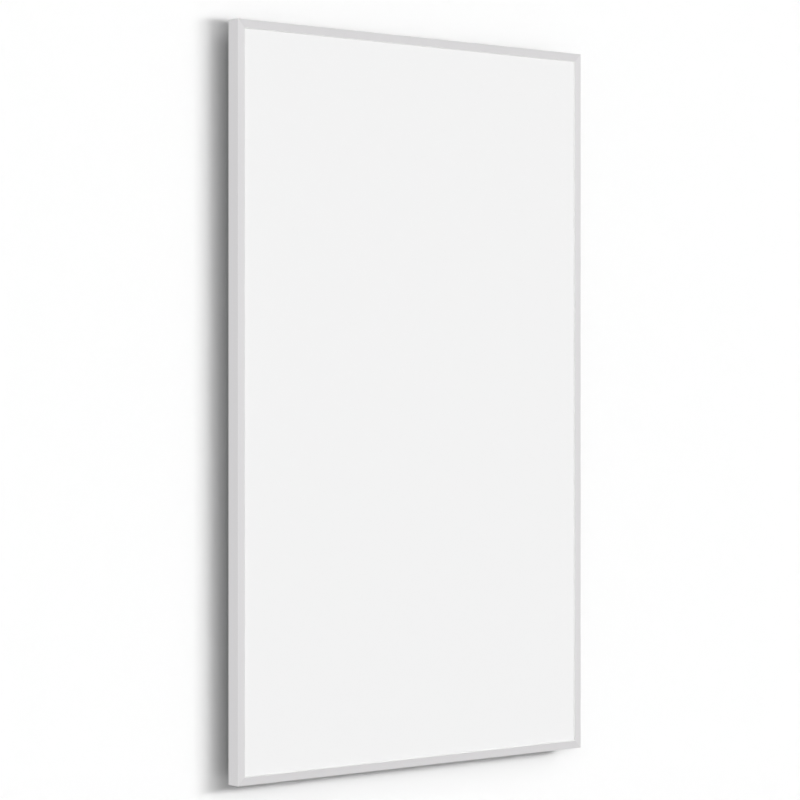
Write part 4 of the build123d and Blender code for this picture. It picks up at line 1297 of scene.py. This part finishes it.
def lead(name, slot, node_name, route):
    """A round lead along a route whose corners are bent."""
    piece = begin(name)
    draw(route)
    merge_all()
    mode("OBJECT")
    ends = (Vector(route[0]) * MM, Vector(route[-1]) * MM)
    for vertex in piece.data.vertices:
        vertex.select = all((vertex.co - end).length > TOUCH * MM for end in ends)
    if len(route) > 2:
        mode("EDIT")
        bpy.ops.mesh.bevel(offset=LEAD_BEND * MM, segments=10, affect="VERTICES")
        mode("OBJECT")
    only(piece)
    bpy.ops.object.convert(target="CURVE")
    piece = bpy.context.object
    piece.data.bevel_depth = LEAD_R * MM
    piece.data.bevel_resolution = 5
    piece.data.use_fill_caps = True
    bpy.ops.object.convert(target="MESH")
    piece = bpy.context.object
    piece.name = piece.data.name = name
    mode("EDIT")
    close_up()
    finished(piece, "panel", slot, node_name)


def crimped_barrel(shoulder, mouth_r):
    """A closed barrel of 6 mm with one crimp, which narrows from its shoulder to its mouth."""
    return spun("barrel", [
        (0, 0), (1.4, 0), (1.6, 0.2), (1.6, 1.6), (1.4, 1.9),
        (1.4, 2.7), (1.6, 3.0), (1.6, shoulder), (mouth_r, 6.0), (0, 6.0),
    ])


def busbar_lug():
    """A tinned tab with a crimped barrel, on the left of the middle and at z = 0."""
    x_outer, y_tab, _ = neat(corners("busbar_lugs")[0])
    tab_l, tab_w, clear = 12.0, 7.0, 0.07
    tab = slab("busbar_tags", rectangle(tab_l, tab_w, 1.0, 4), TAB_T)
    soften(tab, 0.12)
    place(tab, seat(x_outer + tab_l / 2, y_tab, 0, TO_WALL))
    barrel = crimped_barrel(5.6, 1.3)
    return carve(tab, place(barrel, seat(-LEAD_FAR_X - clear, Y_LEAD, 0, LEFTWARDS)), "UNION")


def make_leads():
    """The live and neutral leads with their cut-outs, lugs and grommets, and the earth lead."""
    low, high = (neat(corner) for corner in corners("thermal_cutout_right"))
    long, thick, wide = (far - near for near, far in zip(low, high))
    for side, wire, slot in ((-1, "live", "lead_brown"), (1, "neutral", "lead_blue")):
        lead("supply_" + wire, slot, "lead_" + wire, [
            (side * POLE_PITCH, Y_POLE, LEAD_LOW_Z),
            (side * POLE_PITCH, Y_POLE, LEAD_Z),
            (side * POLE_PITCH, Y_LEAD, LEAD_Z),
            (side * low[0], Y_LEAD, LEAD_Z),
        ])
        lead("supply_" + wire + "_end", slot, "lead_" + wire + "_tail", [
            (side * high[0], Y_LEAD, LEAD_Z),
            (side * LEAD_FAR_X, Y_LEAD, LEAD_Z),
        ])
    lead("earth_wire", "lead_green", "lead_earth", [
        (0, Y_POLE, LEAD_LOW_Z),
        (0, Y_POLE, EARTH_Z),
        (EARTH_X - EARTH_LUG_L, Y_POLE, EARTH_Z),
    ])
    for side, hand in ((-1, "left"), (1, "right")):
        case = slab("cutout_case_" + hand, rectangle(long, wide, 1.3, 4), thick)
        bevel_rim(case, thick, 1.0, 4)
        soften(case, 0.15, 1)
        place(case, seat(side * (low[0] + long / 2), low[1], LEAD_Z, TO_WALL))
        finished(case, "panel", "cutout_case", "thermal_cutout_" + hand)
    level = seat(0, 0, LEAD_Z, UPWARDS)
    tags = copies(busbar_lug(), [level, level @ Matrix.Rotation(pi, 4, "Y")])
    finished(tags, "panel", "tinned_copper", "busbar_lugs")
    grommet = spun("wire_grommets", [
        (1.25, 0.4), (1.7, 0), (6.0, 0), (6.4, 0.3), (6.5, 0.7), (6.4, 1.1), (6.0, 1.4), (4.5, 1.4),
        (4.5, 4.2), (6.0, 4.2), (6.4, 4.5), (6.5, 4.9), (6.4, 5.3), (6.0, 5.6), (1.7, 5.6), (1.25, 5.2),
    ], sides=40)
    pair = copies(grommet, seats(corners("lead_grommets")[0].y, LEAD_SPOTS))
    finished(pair, "panel", "grommet_rubber", "lead_grommets")


def make_earth():
    """The earth stud, its three nuts and the ring lug between the upper two."""
    stud_low, stud_high = corners("earth_stud")
    head_h = 2.4
    stud = hexed("earth_bolt", 6.4, 0, head_h)
    length = stud_high.y - stud_low.y
    shank = [(0, 1.0), (1.8, 1.0), (1.8, head_h)] + ridges(2.0, head_h, length - 0.5, 0.7)
    shank += [(1.5, length), (0, length)]
    carve(stud, spun("shank", shank), "UNION")
    place(stud, seat(EARTH_X, stud_low.y, EARTH_Z, TO_WALL))
    finished(stud, "panel", "zinc_screws", "earth_stud")

    nut = hex_nut("earth_bolt_nuts", 7.0, EARTH_NUT_H, EARTH_HOLE_R, 2.5, 0.3)
    nut_levels = (Y_BOX_FLOOR, Y_BOX_FLOOR + EARTH_NUT_H, Y_EARTH_LUG + TAB_T)
    nuts = copies(nut, [seat(EARTH_X, y, EARTH_Z, TO_WALL) for y in nut_levels])
    finished(nuts, "panel", "zinc_screws", "earth_nuts")

    ring = [(EARTH_HOLE_R, 0), (4.0, 0), (4.0, TAB_T), (EARTH_HOLE_R, TAB_T)]
    lug = spun("earth_ring", ring, sides=40)
    place(lug, seat(EARTH_X, Y_EARTH_LUG, EARTH_Z, TO_WALL))
    tab_at, tab_l, tab_w = 3.5, 6.5, 3.2
    tab = slab("tab", rectangle(tab_l, tab_w), TAB_T)
    place(tab, seat(EARTH_X - tab_at - tab_l / 2, Y_EARTH_LUG, EARTH_Z, TO_WALL))
    carve(lug, tab, "UNION")
    barrel = crimped_barrel(5.2, 1.2)
    carve(lug, place(barrel, seat(EARTH_X - EARTH_LUG_L, Y_POLE, EARTH_Z, RIGHTWARDS)), "UNION")
    finished(lug, "panel", "tinned_copper", "earth_lug")


make_leads()
make_earth()


# ---------------- corner keys

def corner_key(name, node_name):
    """A copy of the CAD key, whole again, with its cast edges rounded."""
    piece = added(name, frame["nodes"][node_name].data.copy())
    piece.data.name = name
    only(piece)
    mode("EDIT")
    merge_all()
    bpy.ops.mesh.dissolve_limited(angle_limit=radians(FLAT))
    mode("OBJECT")
    soften(piece, 0.25)
    finished(piece, "panel", "key_alloy", node_name)


for corner in ("top_left", "top_right", "bottom_left", "bottom_right"):
    corner_key("cast_key_" + corner, "corner_key_" + corner)


# ---------------- finishes of the nodes, and the end

slot_of = {row["node"]: row["material_slot"] for row in frame["record"]["subparts"]}
for node_name, carrier in frame["nodes"].items():
    wear(carrier, slot_of[node_name])
